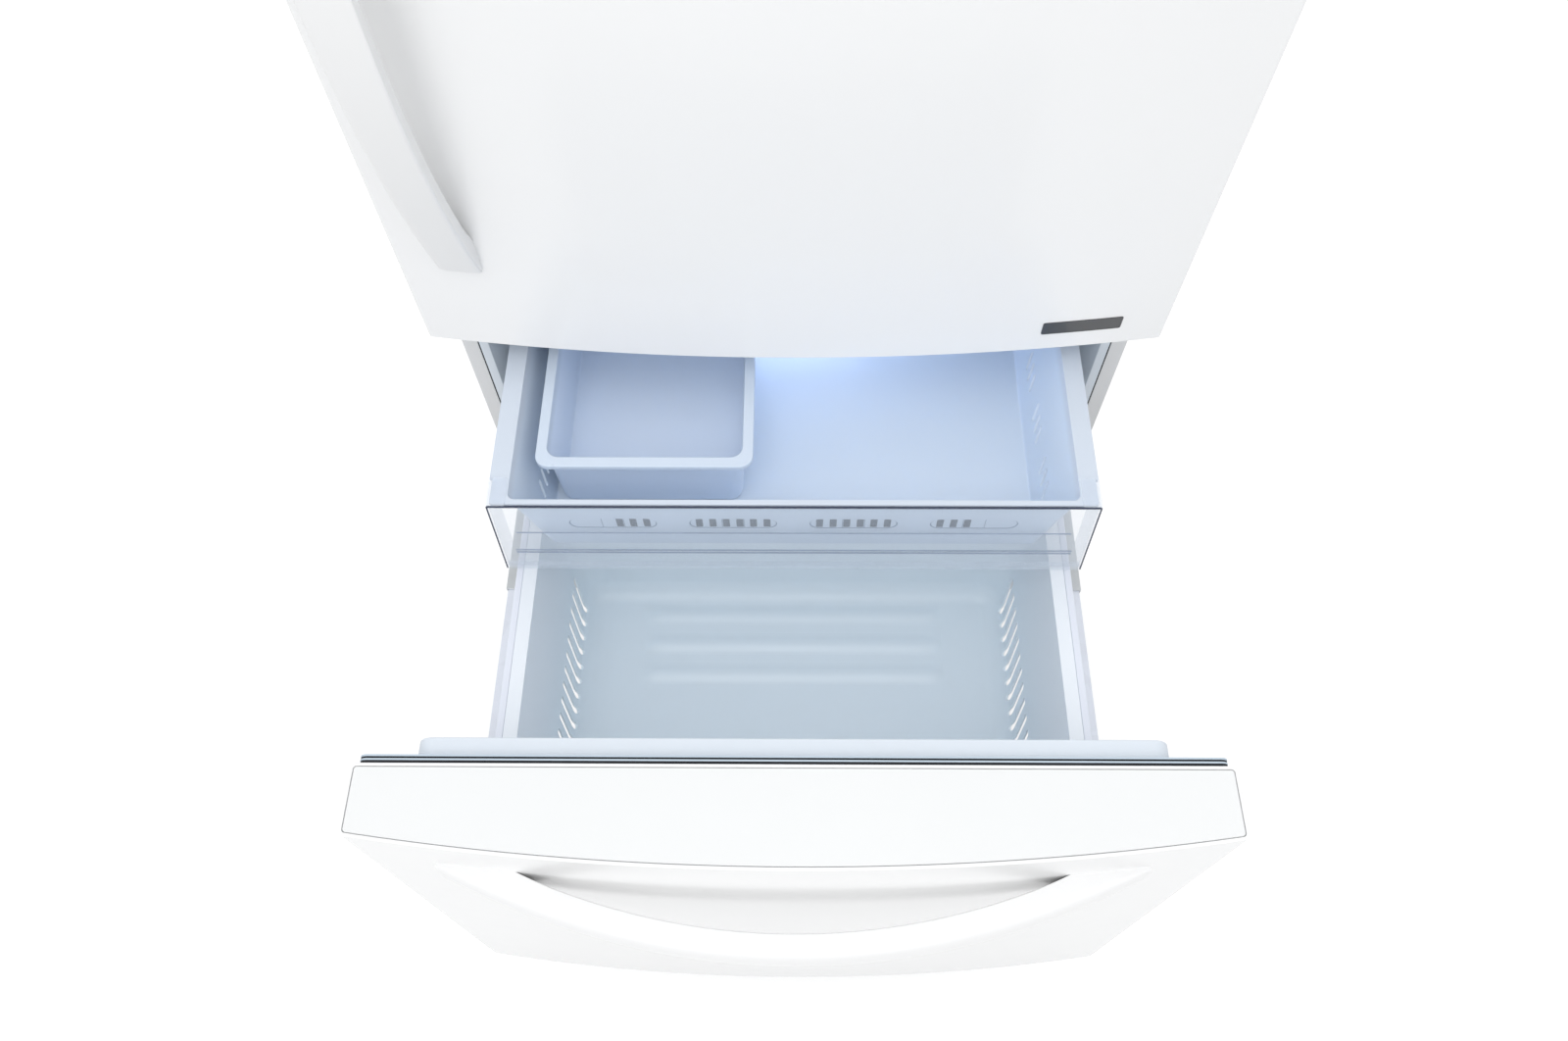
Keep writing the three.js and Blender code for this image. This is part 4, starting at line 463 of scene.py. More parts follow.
class Shape:
    """A mesh on the bench, in millimetres in the working frame."""

    def __init__(self) -> None:
        """Starts empty."""
        self.bm = bmesh.new()

    @classmethod
    def box(cls, x: Span, y: Span, z: Span) -> "Shape":
        """Makes a block between two planes each way.

        Args:
            x: Its left and right.
            y: Its near and far side.
            z: Its underside and top.

        Returns:
            The block.
        """
        made = cls()
        size = [b - a for a, b in (x, y, z)]
        middle = Vector([(a + b) / 2 for a, b in (x, y, z)])
        place = Matrix.Translation(middle) @ Matrix.Diagonal((*size, 1.0))
        bmesh.ops.create_cube(made.bm, size=1.0, matrix=place)
        return made

    @classmethod
    def rod(cls, centre: tuple, radius: float, tip: float, length: float, sides: int) -> "Shape":
        """Makes a round bar that runs in depth.

        Args:
            centre: Its middle.
            radius: Radius of its near end.
            tip: Radius of its far end.
            length: Its length.
            sides: Faces round it.

        Returns:
            The bar.
        """
        made = cls()
        place = Matrix.Translation(Vector(centre)) @ Matrix.Rotation(-math.pi / 2, 4, "X")
        bmesh.ops.create_cone(
            made.bm, cap_ends=True, segments=sides, radius1=radius, radius2=tip, depth=length, matrix=place
        )
        return made

    @classmethod
    def prism(cls, outline: Iterable[Span], axis: Axis, span: Span) -> "Shape":
        """Draws an outline out along an axis into a closed bar.

        Args:
            outline: Corner points in the other two directions, in their order.
            axis: The direction it is drawn out in.
            span: Where it starts and ends.

        Returns:
            The bar.
        """
        made = cls()
        places = {Axis.X: (1, 2), Axis.Y: (0, 2), Axis.Z: (0, 1)}[axis]
        verts = []
        for point in outline:
            at = Vector((0.0, 0.0, 0.0))
            at[axis.value] = span[0]
            at[places[0]], at[places[1]] = point
            verts.append(made.bm.verts.new(at))
        face = made.bm.faces.new(verts)
        grown = bmesh.ops.extrude_face_region(made.bm, geom=[face])["geom"]
        way = Vector([span[1] - span[0] if i == axis.value else 0.0 for i in range(3)])
        bmesh.ops.translate(made.bm, verts=points_of(grown), vec=way)
        return made.outward()

    @classmethod
    def swell(cls, x: Span, y: Span, z: float, height: float, root: float) -> "Shape":
        """Makes a soft rib that rises smoothly from a floor.

        Args:
            x: Its left and right.
            y: Its near and far side.
            z: The floor under it.
            height: How far it rises.
            root: How far its sides reach down into the floor.

        Returns:
            The rib.
        """
        made = cls()
        bmesh.ops.create_grid(made.bm, x_segments=60, y_segments=14, size=1.0)
        half = Vector(((x[1] - x[0]) / 2, (y[1] - y[0]) / 2, 1.0))
        end = half.y  # length of its soft ends
        proud = 0.06  # how far its outer edge stands over the floor

        def lift(p: Vector) -> Vector:
            """Raises a point of the flat square to the rib.

            Args:
                p: The point.

            Returns:
                Its place.
            """
            off = max(0.0, abs(p.x) * half.x - (half.x - end)) / end
            rise = (0.5 + 0.5 * math.cos(math.pi * p.y)) * (0.5 + 0.5 * math.cos(math.pi * off))
            return Vector((sum(x) / 2 + p.x * half.x, sum(y) / 2 + p.y * half.y, z + proud + height * rise))

        made.move(lift)
        geom = bmesh.ops.extrude_edge_only(made.bm, edges=made.rims())["geom"]
        bmesh.ops.translate(made.bm, verts=points_of(geom), vec=(0, 0, -root))
        bmesh.ops.holes_fill(made.bm, edges=made.rims())
        return made.outward()

    @classmethod
    def of_node(cls, name: str) -> "Shape":
        """Takes a merged copy of a CAD node.

        Args:
            name: The node's name.

        Returns:
            The copy, in the working frame.
        """
        made = cls()
        made.bm.from_mesh(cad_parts[name].data)
        made.bm.transform(Matrix.Translation((0.0, -EDGE_PLANE, 0.0)) @ Matrix.Scale(1 / MM, 4))
        bmesh.ops.remove_doubles(made.bm, verts=made.bm.verts, dist=MERGED)
        return made

    def edges_along(self, axis: Axis, test: Test | None = None) -> list[bmesh.types.BMEdge]:
        """Finds edges that run one way.

        Args:
            axis: The way.
            test: Tells from an edge's two ends whether it counts.

        Returns:
            The edges.
        """
        found = []
        for edge in self.bm.edges:
            a, b = (v.co for v in edge.verts)
            run = b - a
            if abs(run[axis.value]) > 0.9 * run.length and (test is None or test(a, b)):
                found.append(edge)
        return found

    def edges(self, test: Test) -> list[bmesh.types.BMEdge]:
        """Finds the edges whose two ends pass a test."""
        return [e for e in self.bm.edges if test(e.verts[0].co, e.verts[1].co)]

    def bevel(self, edges: Iterable[bmesh.types.BMEdge], width: float, segments: int = 3) -> "Shape":
        """Rounds edges.

        Args:
            edges: Which ones.
            width: How far the rounding starts from each edge.
            segments: Faces across it.

        Returns:
            The same shape.
        """
        bmesh.ops.bevel(
            self.bm, geom=list(edges), offset=width, offset_type="OFFSET", segments=segments,
            profile=0.5, affect="EDGES", clamp_overlap=True, material=-1,
        )
        return self

    def rounded(self, axis: Axis, radius: float, segments: int = 6, test: Test | None = None) -> "Shape":
        """Rounds the edges that run one way."""
        return self.bevel(self.edges_along(axis, test), radius, segments)

    def at_level(self, axis: Axis, level: float) -> list[bmesh.types.BMEdge]:
        """Finds the outline edges that lie in one plane.

        Args:
            axis: The plane's direction.
            level: Its place along it.

        Returns:
            The edges.
        """
        i = axis.value
        flat = self.edges(lambda a, b: abs(a[i] - level) < 0.02 and abs(b[i] - level) < 0.02)
        return [e for e in flat if len(e.link_faces) < 2 or e.calc_face_angle(0.0) > 0.5]

    def split(self, axis: Axis, cuts: int) -> "Shape":
        """Divides each edge that runs one way by a number of cuts."""
        bmesh.ops.subdivide_edges(self.bm, edges=self.edges_along(axis), cuts=cuts, use_grid_fill=True)
        return self

    def move(self, change: Callable[[Vector], Vector]) -> "Shape":
        """Moves every point.

        Args:
            change: Gives a point's new place.

        Returns:
            The same shape.
        """
        for vert in self.bm.verts:
            vert.co = change(vert.co.copy())
        return self

    def turn(self, degrees: float, axis: Axis, centre: tuple) -> "Shape":
        """Turns the whole shape.

        Args:
            degrees: By how much.
            axis: Round which direction.
            centre: Through which point.

        Returns:
            The same shape.
        """
        bmesh.ops.rotate(
            self.bm, verts=self.bm.verts, cent=Vector(centre),
            matrix=Matrix.Rotation(math.radians(degrees), 3, axis.name),
        )
        return self

    def faces_facing(self, way: Vector, share: float = 0.95) -> list[bmesh.types.BMFace]:
        """Finds the faces that look one way."""
        self.bm.normal_update()
        return [f for f in self.bm.faces if f.normal.dot(way) > share]

    def sink(self, faces: list[bmesh.types.BMFace], inset: float, depth: float) -> list[bmesh.types.BMFace]:
        """Insets a region of faces and moves it in or out along its normals.

        Args:
            faces: The region.
            inset: Width of the border left round it.
            depth: How far it moves, with a minus for inwards.

        Returns:
            The region's faces, now smaller.
        """
        if inset:
            bmesh.ops.inset_region(self.bm, faces=faces, thickness=inset, use_even_offset=True)
        if depth:
            way = sum((f.normal for f in faces), Vector()).normalized() * depth
            made = bmesh.ops.extrude_face_region(self.bm, geom=faces)["geom"]
            bmesh.ops.delete(self.bm, geom=faces, context="FACES_ONLY")
            bmesh.ops.translate(self.bm, verts=points_of(made), vec=way)
            faces = [f for f in made if isinstance(f, bmesh.types.BMFace)]
        return faces

    def join(self, *others: "Shape") -> "Shape":
        """Takes other shapes into this one.

        Args:
            *others: The shapes, used up by it.

        Returns:
            The same shape.
        """
        for other in others:
            mesh = bpy.data.meshes.new("joined")
            other.bm.to_mesh(mesh)
            self.bm.from_mesh(mesh)
            bpy.data.meshes.remove(mesh)
            other.bm.free()
        return self

    def rims(self) -> list[bmesh.types.BMEdge]:
        """Finds the open edges."""
        return [e for e in self.bm.edges if e.is_boundary]

    @classmethod
    def union(cls, shapes: Iterable["Shape"]) -> "Shape":
        """Takes several shapes together as one, without merging what crosses."""
        return cls().join(*shapes)

    def outward(self) -> "Shape":
        """Points the faces out of a closed shape."""
        bmesh.ops.recalc_face_normals(self.bm, faces=self.bm.faces)
        return self

    def inward(self) -> "Shape":
        """Points the faces of an open tub into it, so that its floor faces up."""
        self.outward()
        level = [f for f in self.bm.faces if abs(f.normal.z) > 0.95 and f.calc_area() > 5000]
        if min(level, key=lambda f: f.calc_center_median().z).normal.z < 0:
            bmesh.ops.reverse_faces(self.bm, faces=self.bm.faces)
        return self

    @classmethod
    def frame(cls, x: Span, y: Span, z: Span, width: float, radius: float) -> "Shape":
        """Makes an upright rounded ring, open in depth.

        Args:
            x: Its left and right.
            y: Its near and far side.
            z: Its underside and top.
            width: How wide its band is.
            radius: Rounding of its outer corners.

        Returns:
            The ring.
        """
        made = cls.box(x, y, z).rounded(Axis.Y, radius)
        holes = made.faces_facing(BACKWARDS) + made.faces_facing(-BACKWARDS)
        for face in holes:
            bmesh.ops.inset_region(made.bm, faces=[face], thickness=width, use_even_offset=True)
        bmesh.ops.delete(made.bm, geom=holes, context="FACES_ONLY")
        bmesh.ops.bridge_loops(made.bm, edges=made.rims())
        return made.outward()

    @classmethod
    def tray(
        cls, x: Span, y: Span, z: Span, rim: Span, lean: Span, radius: float, turn: float, lip: float
    ) -> "Shape":
        """Makes the open skin of a tray, whose wall is added later on its outside.

        Args:
            x: Outer left and right of its rim.
            y: Outer near and far side of its rim.
            z: Its floor's upper side and its rim's top.
            rim: The rim's width at the sides and at the ends.
            lean: How far the sides and the ends lean in down to the floor.
            radius: Rounding of its upright corners.
            turn: Rounding where the walls meet the floor.
            lip: How far the rim's outer edge turns down.

        Returns:
            The skin, facing the inside of the tray.
        """
        made = cls.box((x[0] + rim[0], x[1] - rim[0]), (y[0] + rim[1], y[1] - rim[1]), z)
        mid = Vector((sum(x) / 2, sum(y) / 2, sum(z) / 2))

        def lean_in(p: Vector) -> Vector:
            """Moves a point of the floor inwards.

            Args:
                p: The point.

            Returns:
                Its place.
            """
            if p.z < mid.z:
                p.x -= math.copysign(lean[0], p.x - mid.x)
                p.y -= math.copysign(lean[1], p.y - mid.y)
            return p

        made.move(lean_in)
        made.bevel(made.edges(lambda a, b: abs(a.z - b.z) > 1), radius, 8)
        made.bevel(made.at_level(Axis.Z, z[0]), turn, 7 if turn > 10 else 4)
        bmesh.ops.delete(made.bm, geom=made.faces_facing(UP), context="FACES")
        for grow, drop in ((rim, 0.0), ((0.0, 0.0), lip)):
            geom = bmesh.ops.extrude_edge_only(made.bm, edges=made.rims())["geom"]
            half = Vector(((x[1] - x[0]) / 2 - rim[0], (y[1] - y[0]) / 2 - rim[1]))
            for vert in points_of(geom):
                vert.co.x = mid.x + (vert.co.x - mid.x) * (1 + grow[0] / half.x)
                vert.co.y = mid.y + (vert.co.y - mid.y) * (1 + grow[1] / half.y)
                vert.co.z -= drop
        return made.inward()

    def mesh(self, name: str, out: float) -> bpy.types.Mesh:
        """Ends the work: the mesh in metres, in the part's frame.

        Args:
            name: The mesh's name.
            out: Depth by which its body stands pulled out.

        Returns:
            The mesh.
        """
        place = Matrix.Scale(MM, 4) @ Matrix.Translation((0.0, EDGE_PLANE + out, 0.0))
        self.bm.transform(place)
        made = bpy.data.meshes.new(name)
        self.bm.to_mesh(made)
        self.bm.free()
        made.polygons.foreach_set("use_smooth", [True] * len(made.polygons))
        return made


def settle(thing: bpy.types.Object) -> None:
    """Turns a piece's modifiers into its mesh.

    Args:
        thing: The piece.
    """
    graph = bpy.context.evaluated_depsgraph_get()
    made = bpy.data.meshes.new_from_object(thing.evaluated_get(graph))
    thing.modifiers.clear()
    thing.data = made


def ease(thing: bpy.types.Object, width: float, segments: int = 2) -> None:
    """Rounds a piece's sharp edges a little and evens its shading.

    Args:
        thing: The piece.
        width: Rounding in millimetres.
        segments: Faces across it.
    """
    if width:
        bevel = thing.modifiers.new("eased", "BEVEL")
        bevel.width, bevel.segments = width * MM, segments
        bevel.limit_method, bevel.angle_limit = "ANGLE", math.radians(SHARP)
        bevel.use_clamp_overlap = True
    even = thing.modifiers.new("shading", "WEIGHTED_NORMAL")
    even.keep_sharp = False


def put(
    shape: Shape, name: str, body: Body, finish: Finish, *, stands_for: Iterable[str] = (), wall: float = 0.0,
    soft: float = 0.6, cutters: Iterable[Shape] = (), extras: Iterable[Shape] = (), segments: int = 2,
) -> bpy.types.Object:
    """Makes a piece of a shape: its place, wall, cuts, rounding, finish and body.

    Args:
        shape: The finished shape, used up by it.
        name: The piece's name.
        body: The body that it rides on.
        finish: Its finish.
        stands_for: CAD nodes that it replaces.
        wall: Thickness given to an open skin.
        soft: Rounding of its sharp edges.
        cutters: Shapes cut out of it.
        extras: Closed shapes that its mesh takes in after its wall.
        segments: Faces across the rounding.

    Returns:
        The piece.
    """
    thing = bpy.data.objects.new(name, shape.mesh(name, body.out))
    bpy.context.scene.collection.objects.link(thing)
    if wall:
        solid = thing.modifiers.new("wall", "SOLIDIFY")
        solid.thickness, solid.offset = wall * MM, -1.0
        solid.use_even_offset, solid.use_quality_normals = True, True
    tools = list(cutters)
    if tools:
        tool = bpy.data.objects.new("cutter", Shape.union(tools).mesh("cutter", body.out))
        bpy.context.scene.collection.objects.link(tool)
        cut = thing.modifiers.new("cut", "BOOLEAN")
        cut.object, cut.operation, cut.solver = tool, "DIFFERENCE", "EXACT"
        cut.use_self = True
        settle(thing)
        bpy.data.objects.remove(tool)
    more = list(extras)
    if more:
        if wall and not tools:
            settle(thing)
        whole = Shape()
        whole.bm.from_mesh(Shape.union(more).mesh("more", body.out))
        whole.bm.from_mesh(thing.data)
        whole.bm.to_mesh(thing.data)
        whole.bm.free()
        thing.data.polygons.foreach_set("use_smooth", [True] * len(thing.data.polygons))
    ease(thing, soft, segments)
    thing.data.materials.clear()
    thing.data.materials.append(finish.material())
    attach(thing, body.value[0])
    if stands_for:
        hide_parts(*stands_for)
    LOG.info("%s: %d faces, on %s, %s", name, len(thing.data.polygons), body.value[0], finish.slot)
    return thing


def dress(finish: Finish, *nodes: str, soft: float = 0.6, merge: bool = True) -> None:
    """Gives CAD nodes their finish and softens their edges, leaving their meshes as they are.

    Args:
        finish: The finish.
        *nodes: The nodes' names.
        soft: Rounding in millimetres.
        merge: Whether faces in one plane are taken together first.
    """
    for name in nodes:
        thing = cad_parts[name]
        for slot in thing.material_slots:
            slot.material = finish.material()
        thing.modifiers.new("welded", "WELD").merge_threshold = 0.00001
        if merge:
            flat = thing.modifiers.new("flat", "DECIMATE")
            flat.decimate_type, flat.angle_limit = "DISSOLVE", math.radians(1.0)
        ease(thing, soft)
        LOG.info("%s: CAD node, %s", name, finish.slot)


# ---- The doors --------------------------------------------------------------------------------------


@dataclass
class DoorForm:
    """What the fridge door and the drawer front share: a bowed slab with end caps and a gasket."""

    body: Body
    prefix: str
    z: Span
    half: float = 416.0
    bow: float = 30.0
    edge: float = 69.0
    side_round: float = 6.0
    roll: float = 3.2
    hem: float = 1.4
    joint: float = 0.7
    cap: float = 13.6
    rear_gap: float = 0.6
    seal_half: float = 410.0
    seal_inset: float = 3.0
    seal_width: float = 10.0
    seal_round: float = 8.0
    core_y: Span = (68.3, 76.0)
    core_inset: float = 0.4
    ribs_y: tuple[Span, ...] = ((71.1, 72.8), (74.8, 76.7))

    def front(self, x: float, lead: float = 0.0) -> float:
        """Gives the depth of the bowed front at a place across, or of a surface that far behind it."""
        radius = (self.half**2 + self.bow**2) / (2 * self.bow)
        return -(math.sqrt(radius**2 - x**2) - (radius - self.bow)) + lead

    def slab(self, inset: float, z: Span, round_by: float) -> Shape:
        """Makes a bowed slab.

        Args:
            inset: How far its sides stay inside the door's.
            z: Its underside and top.
            round_by: Rounding of its upright corners.

        Returns:
            The slab.
        """
        half = self.half - inset
        made = Shape.box((-half, half), (0.0, self.edge - self.rear_gap - inset), z).split(Axis.X, 47)
        made.move(lambda p: Vector((p.x, self.front(p.x, inset), p.z)) if p.y < 1 else p)
        return made.rounded(Axis.Z, round_by, 6, lambda a, b: abs(abs(a.x) - half) < 0.1)

    def build_slab(self) -> None:
        """Makes the painted skin with its rolled ends, and the two end caps."""
        skin = self.slab(0.0, self.z, self.side_round)
        for level in self.z:
            skin.bevel(skin.at_level(Axis.Z, level), self.hem, 4)
        for way, level in ((UP, self.z[1]), (-UP, self.z[0])):
            flat = skin.faces_facing(way, 0.9999)
            ends = [f for f in flat if abs(f.calc_center_median().z - level) < 0.1]
            skin.sink(ends, self.roll - self.hem, -self.cap)
            skin.bevel(skin.at_level(Axis.Z, level), 0.5, 2)
        put(skin, self.prefix + "_front", self.body, PAINT, stands_for=[self.prefix + "_skin"], soft=0.0)
        low, high = self.z
        corner = max(self.side_round - self.roll, 1.5)
        for way, ends in (("top", (high - self.cap, high - 0.4)), ("bottom", (low + 0.4, low + self.cap))):
            cap = self.slab(self.roll + self.joint, ends, corner)
            put(cap, f"{self.prefix}_{way}_end", self.body, CAP, stands_for=[f"{self.prefix}_{way}_cap"], soft=0.8)
        dress(FOAM, self.prefix + "_foam", soft=0.0)

    def build_seal(self) -> None:
        """Makes the gasket: two ribs over a near-black core, whose colour is painted shade in the grooves between
        them.
        """
        core = self.ring(self.core_inset, self.core_y)
        # The core's near-black colour is painted shade of the grooves.
        put(core, self.prefix + "_gasket_core", self.body, SEAL_GROOVE_SHADE, soft=0.0)
        ribs = Shape.union(self.ring(0.0, y) for y in self.ribs_y)
        put(ribs, self.prefix + "_gasket_ribs", self.body, SEAL, stands_for=[self.prefix + "_gasket"], soft=0.4)

    def ring(self, inset: float, y: Span) -> Shape:
        """Makes a ring along the gasket.

        Args:
            inset: How far it stays inside the gasket's outline, at both edges of its band.
            y: Its near and far side.

        Returns:
            The ring.
        """
        half, low, high = self.seal_half - inset, self.z[0] + self.seal_inset, self.z[1] - self.seal_inset
        width = self.seal_width - 2 * inset
        return Shape.frame((-half, half), y, (low + inset, high - inset), width, self.seal_round - inset)


@dataclass
class BowHandle:
    """A bowed band handle that stands off a door at its ends and bulges at the middle."""

    name: str
    door: DoorForm
    along: Axis
    span: Span
    across: Span
    reach: float
    root: float
    thick: float = 25.0
    gap_share: float = 0.77
    front_crown: float = 11.0
    back_crown: float = 8.0
    fullness: float = 0.72

    def build(self) -> None:
        """Makes the handle."""
        flat = self.along is Axis.X
        x, z = (self.span, self.across) if flat else (self.across, self.span)
        made = Shape.box(x, (0.0, 10.0), z).split(self.along, 71).split(Axis.Z if flat else Axis.X, 15)
        made.move(self.bulge)
        put(made, self.name + "_bar", self.door.body, HANDLE, stands_for=[self.name], soft=1.2, segments=3)

    def bulge(self, p: Vector) -> Vector:
        """Places a point of a straight bar on the bowed one, whose section is a rounded band.

        Args:
            p: The point; one with y under 5 is on the front.

        Returns:
            Its place.
        """
        side = Axis.Z.value if self.along is Axis.X else Axis.X.value
        middle, half = sum(self.span) / 2, (self.span[1] - self.span[0]) / 2
        share = (p[self.along.value] - middle) / half
        centre, wide = sum(self.across) / 2, (self.across[1] - self.across[0]) / 2
        angle = (p[side] - centre) / wide * math.pi / 2
        front = self.root + (self.reach - self.root) * (1 - share**2)
        back = max((self.reach - self.thick) * (1 - (share / self.gap_share) ** 2), -1.5)
        depth = front - back
        fall = 1 - max(math.cos(angle), 0.0) ** self.fullness
        if p.y < 5:
            off = front - min(self.front_crown, 0.46 * depth) * fall
        else:
            off = back + min(self.back_crown, 0.34 * depth) * fall * min(1.0, max(back + 1.5, 0.0) / 12)
        p[side] = centre + wide * math.copysign(abs(math.sin(angle)) ** self.fullness, angle)
        p.y = self.door.front(p.x) - off
        return p


@dataclass
class FridgeDoor:
    """The upper door with its handle, bare plate, inner liner, bins and dairy box."""

    form: DoorForm = field(default_factory=lambda: DoorForm(
        Body.FRIDGE_DOOR, "fridge_door", (716.0, 1733.0), seal_half=404.0, side_round=3.6))
    plate_x: float = 318.0
    plate_z: float = 753.0
    plate_size: Span = (89.0, 19.0)

    def build(self) -> None:
        """Makes every piece of the door."""
        self.form.build_slab()
        self.form.build_seal()
        BowHandle("fridge_door_handle", self.form, Axis.Z, (843.0, 1567.0), (-370.0, -324.0), 75.0, 6.0, thick=17.0,
                  gap_share=0.88, front_crown=4.0, back_crown=6.0, fullness=0.5).build()
        self.build_plate()
        dress(LINING, "fridge_door_liner", soft=0.0, merge=False)
        dress(CLEAR, "door_bin_lower", "door_bin_middle", soft=0.6)
        dress(CLEAR, "dairy_box", "dairy_lid", soft=0.6)

    def build_plate(self) -> None:
        """Makes the dark plate, left bare, with a raised rim."""
        wide, high = self.plate_size[0] / 2, self.plate_size[1] / 2
        x, z = (self.plate_x - wide, self.plate_x + wide), (self.plate_z - high, self.plate_z + high)
        made = Shape.box(x, (0.0, 4.0), z).split(Axis.X, 11).rounded(Axis.Y, 2.0, 3)
        made.move(lambda p: Vector((p.x, self.form.front(p.x, -0.9 if p.y < 2 else 0.6), p.z)))
        made.sink(made.faces_facing(-BACKWARDS, 0.8), 1.0, -0.3)
        put(made, "bare_plate", self.form.body, PLATE, stands_for=["label_plate"], soft=0.2)


@dataclass
class FreezerDrawer:
    """The pulled-out drawer: its front, raised inner liner, basket and the carriers of the basket."""

    form: DoorForm = field(default_factory=lambda: DoorForm(
        Body.FREEZER_DRAWER, "freezer_drawer", (66.0, 706.0), seal_inset=1.2))
    plateau_half: float = 363.0
    plateau_z: Span = (150.0, 690.0)
    plateau_rear: float = 99.0
    plateau_round: float = 16.0
    plateau_rim: float = 12.0
    flange_half: float = 399.0
    flange_y: Span = (66.6, 69.6)
    flange_z: Span = (68.5, 702.4)
    basket_half: float = 321.0
    basket_y: Span = (99.3, 497.3)
    basket_z: Span = (270.0, 532.0)
    basket_rim: Span = (16.0, 21.0)
    basket_lean: float = 15.0
    basket_corner: float = 34.0
    basket_turn: float = 26.0
    basket_lip: float = 8.0
    wall: float = 2.5
    slots: int = 13
    slot_reach: Span = (270.0, 310.0)
    slot_width: float = 8.8
    slot_lean: float = 8.5
    slot_start: float = 72.0
    slot_pitch: float = 21.2
    slot_z: Span = (284.0, 364.0)
    rib_half: float = 206.0
    rib_wide: float = 32.0
    rib_high: float = 3.4
    rib_places: tuple[float, ...] = (333.0, 377.0, 421.0)
    bar_x: Span = (350.8, 367.7)
    bar_z: Span = (384.0, 418.0)
    bar_y: Span = (107.0, 577.0)
    bar_sheet: Span = (1.6, 5.0)
    strip: float = 8.5
    carrier_x: Span = (351.8, 309.0)
    carrier_wall: float = 3.5

    def build(self) -> None:
        """Makes every piece of the drawer."""
        self.form.build_slab()
        self.form.build_seal()
        BowHandle("freezer_drawer_handle", self.form, Axis.X, (-341.0, 341.0), (592.0, 642.0), 66.5, 5.0,
                  front_crown=13.0, back_crown=2.5).build()
        self.build_lining()
        self.build_basket()
        for side, hand in ((-1, "left"), (1, "right")):
            self.build_carrier(side, hand)
        dress(ZINC, "middle_slide_left", "middle_slide_right", soft=0.5)

    def build_lining(self) -> None:
        """Makes the inner liner with its raised, round-cornered middle and a shallow field in that."""
        half = self.plateau_half
        flange = Shape.box((-self.flange_half, self.flange_half), self.flange_y, self.flange_z)
        flange.rounded(Axis.Y, 6.0, 4)
        raised = Shape.box((-half, half), (68.0, self.plateau_rear), self.plateau_z)
        raised.rounded(Axis.Y, self.plateau_round, 6)
        raised.sink(raised.sink(raised.faces_facing(BACKWARDS), self.plateau_rim, 0.0), 2.5, -2.2)
        raised.bevel([e for e in raised.at_level(Axis.Y, self.plateau_rear) if e.calc_face_angle(0.0) > 1.2], 7.0, 5)
        put(
            flange.join(raised), "drawer_inner_lining", self.form.body, PANEL, stands_for=["freezer_drawer_liner"],
            soft=0.8,
        )

    def build_basket(self) -> None:
        """Makes the deep basket with upright slots in its sides and soft ribs across its floor."""
        half = self.basket_half
        floor = self.basket_z[0] + self.wall
        tray = Shape.tray(
            (-half, half), self.basket_y, (floor, self.basket_z[1]), self.basket_rim,
            (self.basket_lean, self.basket_lean), self.basket_corner, self.basket_turn, self.basket_lip,
        )
        reach, high = self.slot_reach, self.slot_width / 2
        cutters = []
        for i in range(self.slots):
            y = self.basket_y[0] + self.slot_start + self.slot_pitch * i
            for side in (-1, 1):
                slot = Shape.box(sided(side, *reach), (y - high, y + high), self.slot_z)
                slot.rounded(Axis.X, high - 0.2, 4)
                cutters.append(slot.turn(-self.slot_lean, Axis.X, (0.0, y, sum(self.slot_z) / 2)))
        x, wide = (-self.rib_half, self.rib_half), self.rib_wide / 2
        ribs = [Shape.swell(x, (y - wide, y + wide), floor, self.rib_high, 1.5) for y in self.rib_places]
        put(
            tray, "deep_basket", self.form.body, TUB, stands_for=["freezer_basket"], wall=self.wall, soft=0.7,
            cutters=cutters, extras=ribs,
        )

    def build_carrier(self, side: int, hand: str) -> None:
        """Makes the moulded carrier beside the basket and the steel bar under it.

        Args:
            side: -1 at the left and 1 at the right.
            hand: The side's name.
        """
        top, web, thick = self.basket_z[1], self.bar_z[1], self.carrier_wall
        out, rim = self.basket_half + self.strip, self.basket_half + 0.3
        shelf = top - self.basket_lip - 0.3
        far, near = self.carrier_x
        outline = [
            (far, web), (out, web), (out, top), (rim, top), (rim, shelf), (near, shelf), (near, shelf - thick),
            (out - thick, shelf - thick), (out - thick, web - thick), (far, web - thick),
        ]
        made = Shape.prism([(side * x, z) for x, z in outline], Axis.Y, (self.basket_y[0] + 2, self.basket_y[1]))
        foot = Shape.box(
            sided(side, self.basket_half + 1, 354.3), (self.plateau_rear + 0.3, 115.0), (self.bar_z[0], top)
        )
        foot.bevel(foot.faces_facing(BACKWARDS)[0].edges, 2.5, 3)
        put(made.join(foot), f"basket_carrier_{hand}", self.form.body, CARRIER, soft=1.0)
        (near, far), (low, high) = self.bar_x, self.bar_z
        sheet, lip = self.bar_sheet
        half = [
            (far, high), (near, high), (near, high - lip), (near + sheet, high - lip), (near + sheet, high - sheet),
            (far - sheet, high - sheet),
        ]
        lips = half + [(x, low + high - z) for x, z in reversed(half)]
        bar = Shape.prism([(side * x, z) for x, z in lips], Axis.Y, self.bar_y)
        put(bar, f"slide_bar_{hand}", self.form.body, BAR, stands_for=[f"drawer_slide_{hand}"], soft=0.5)


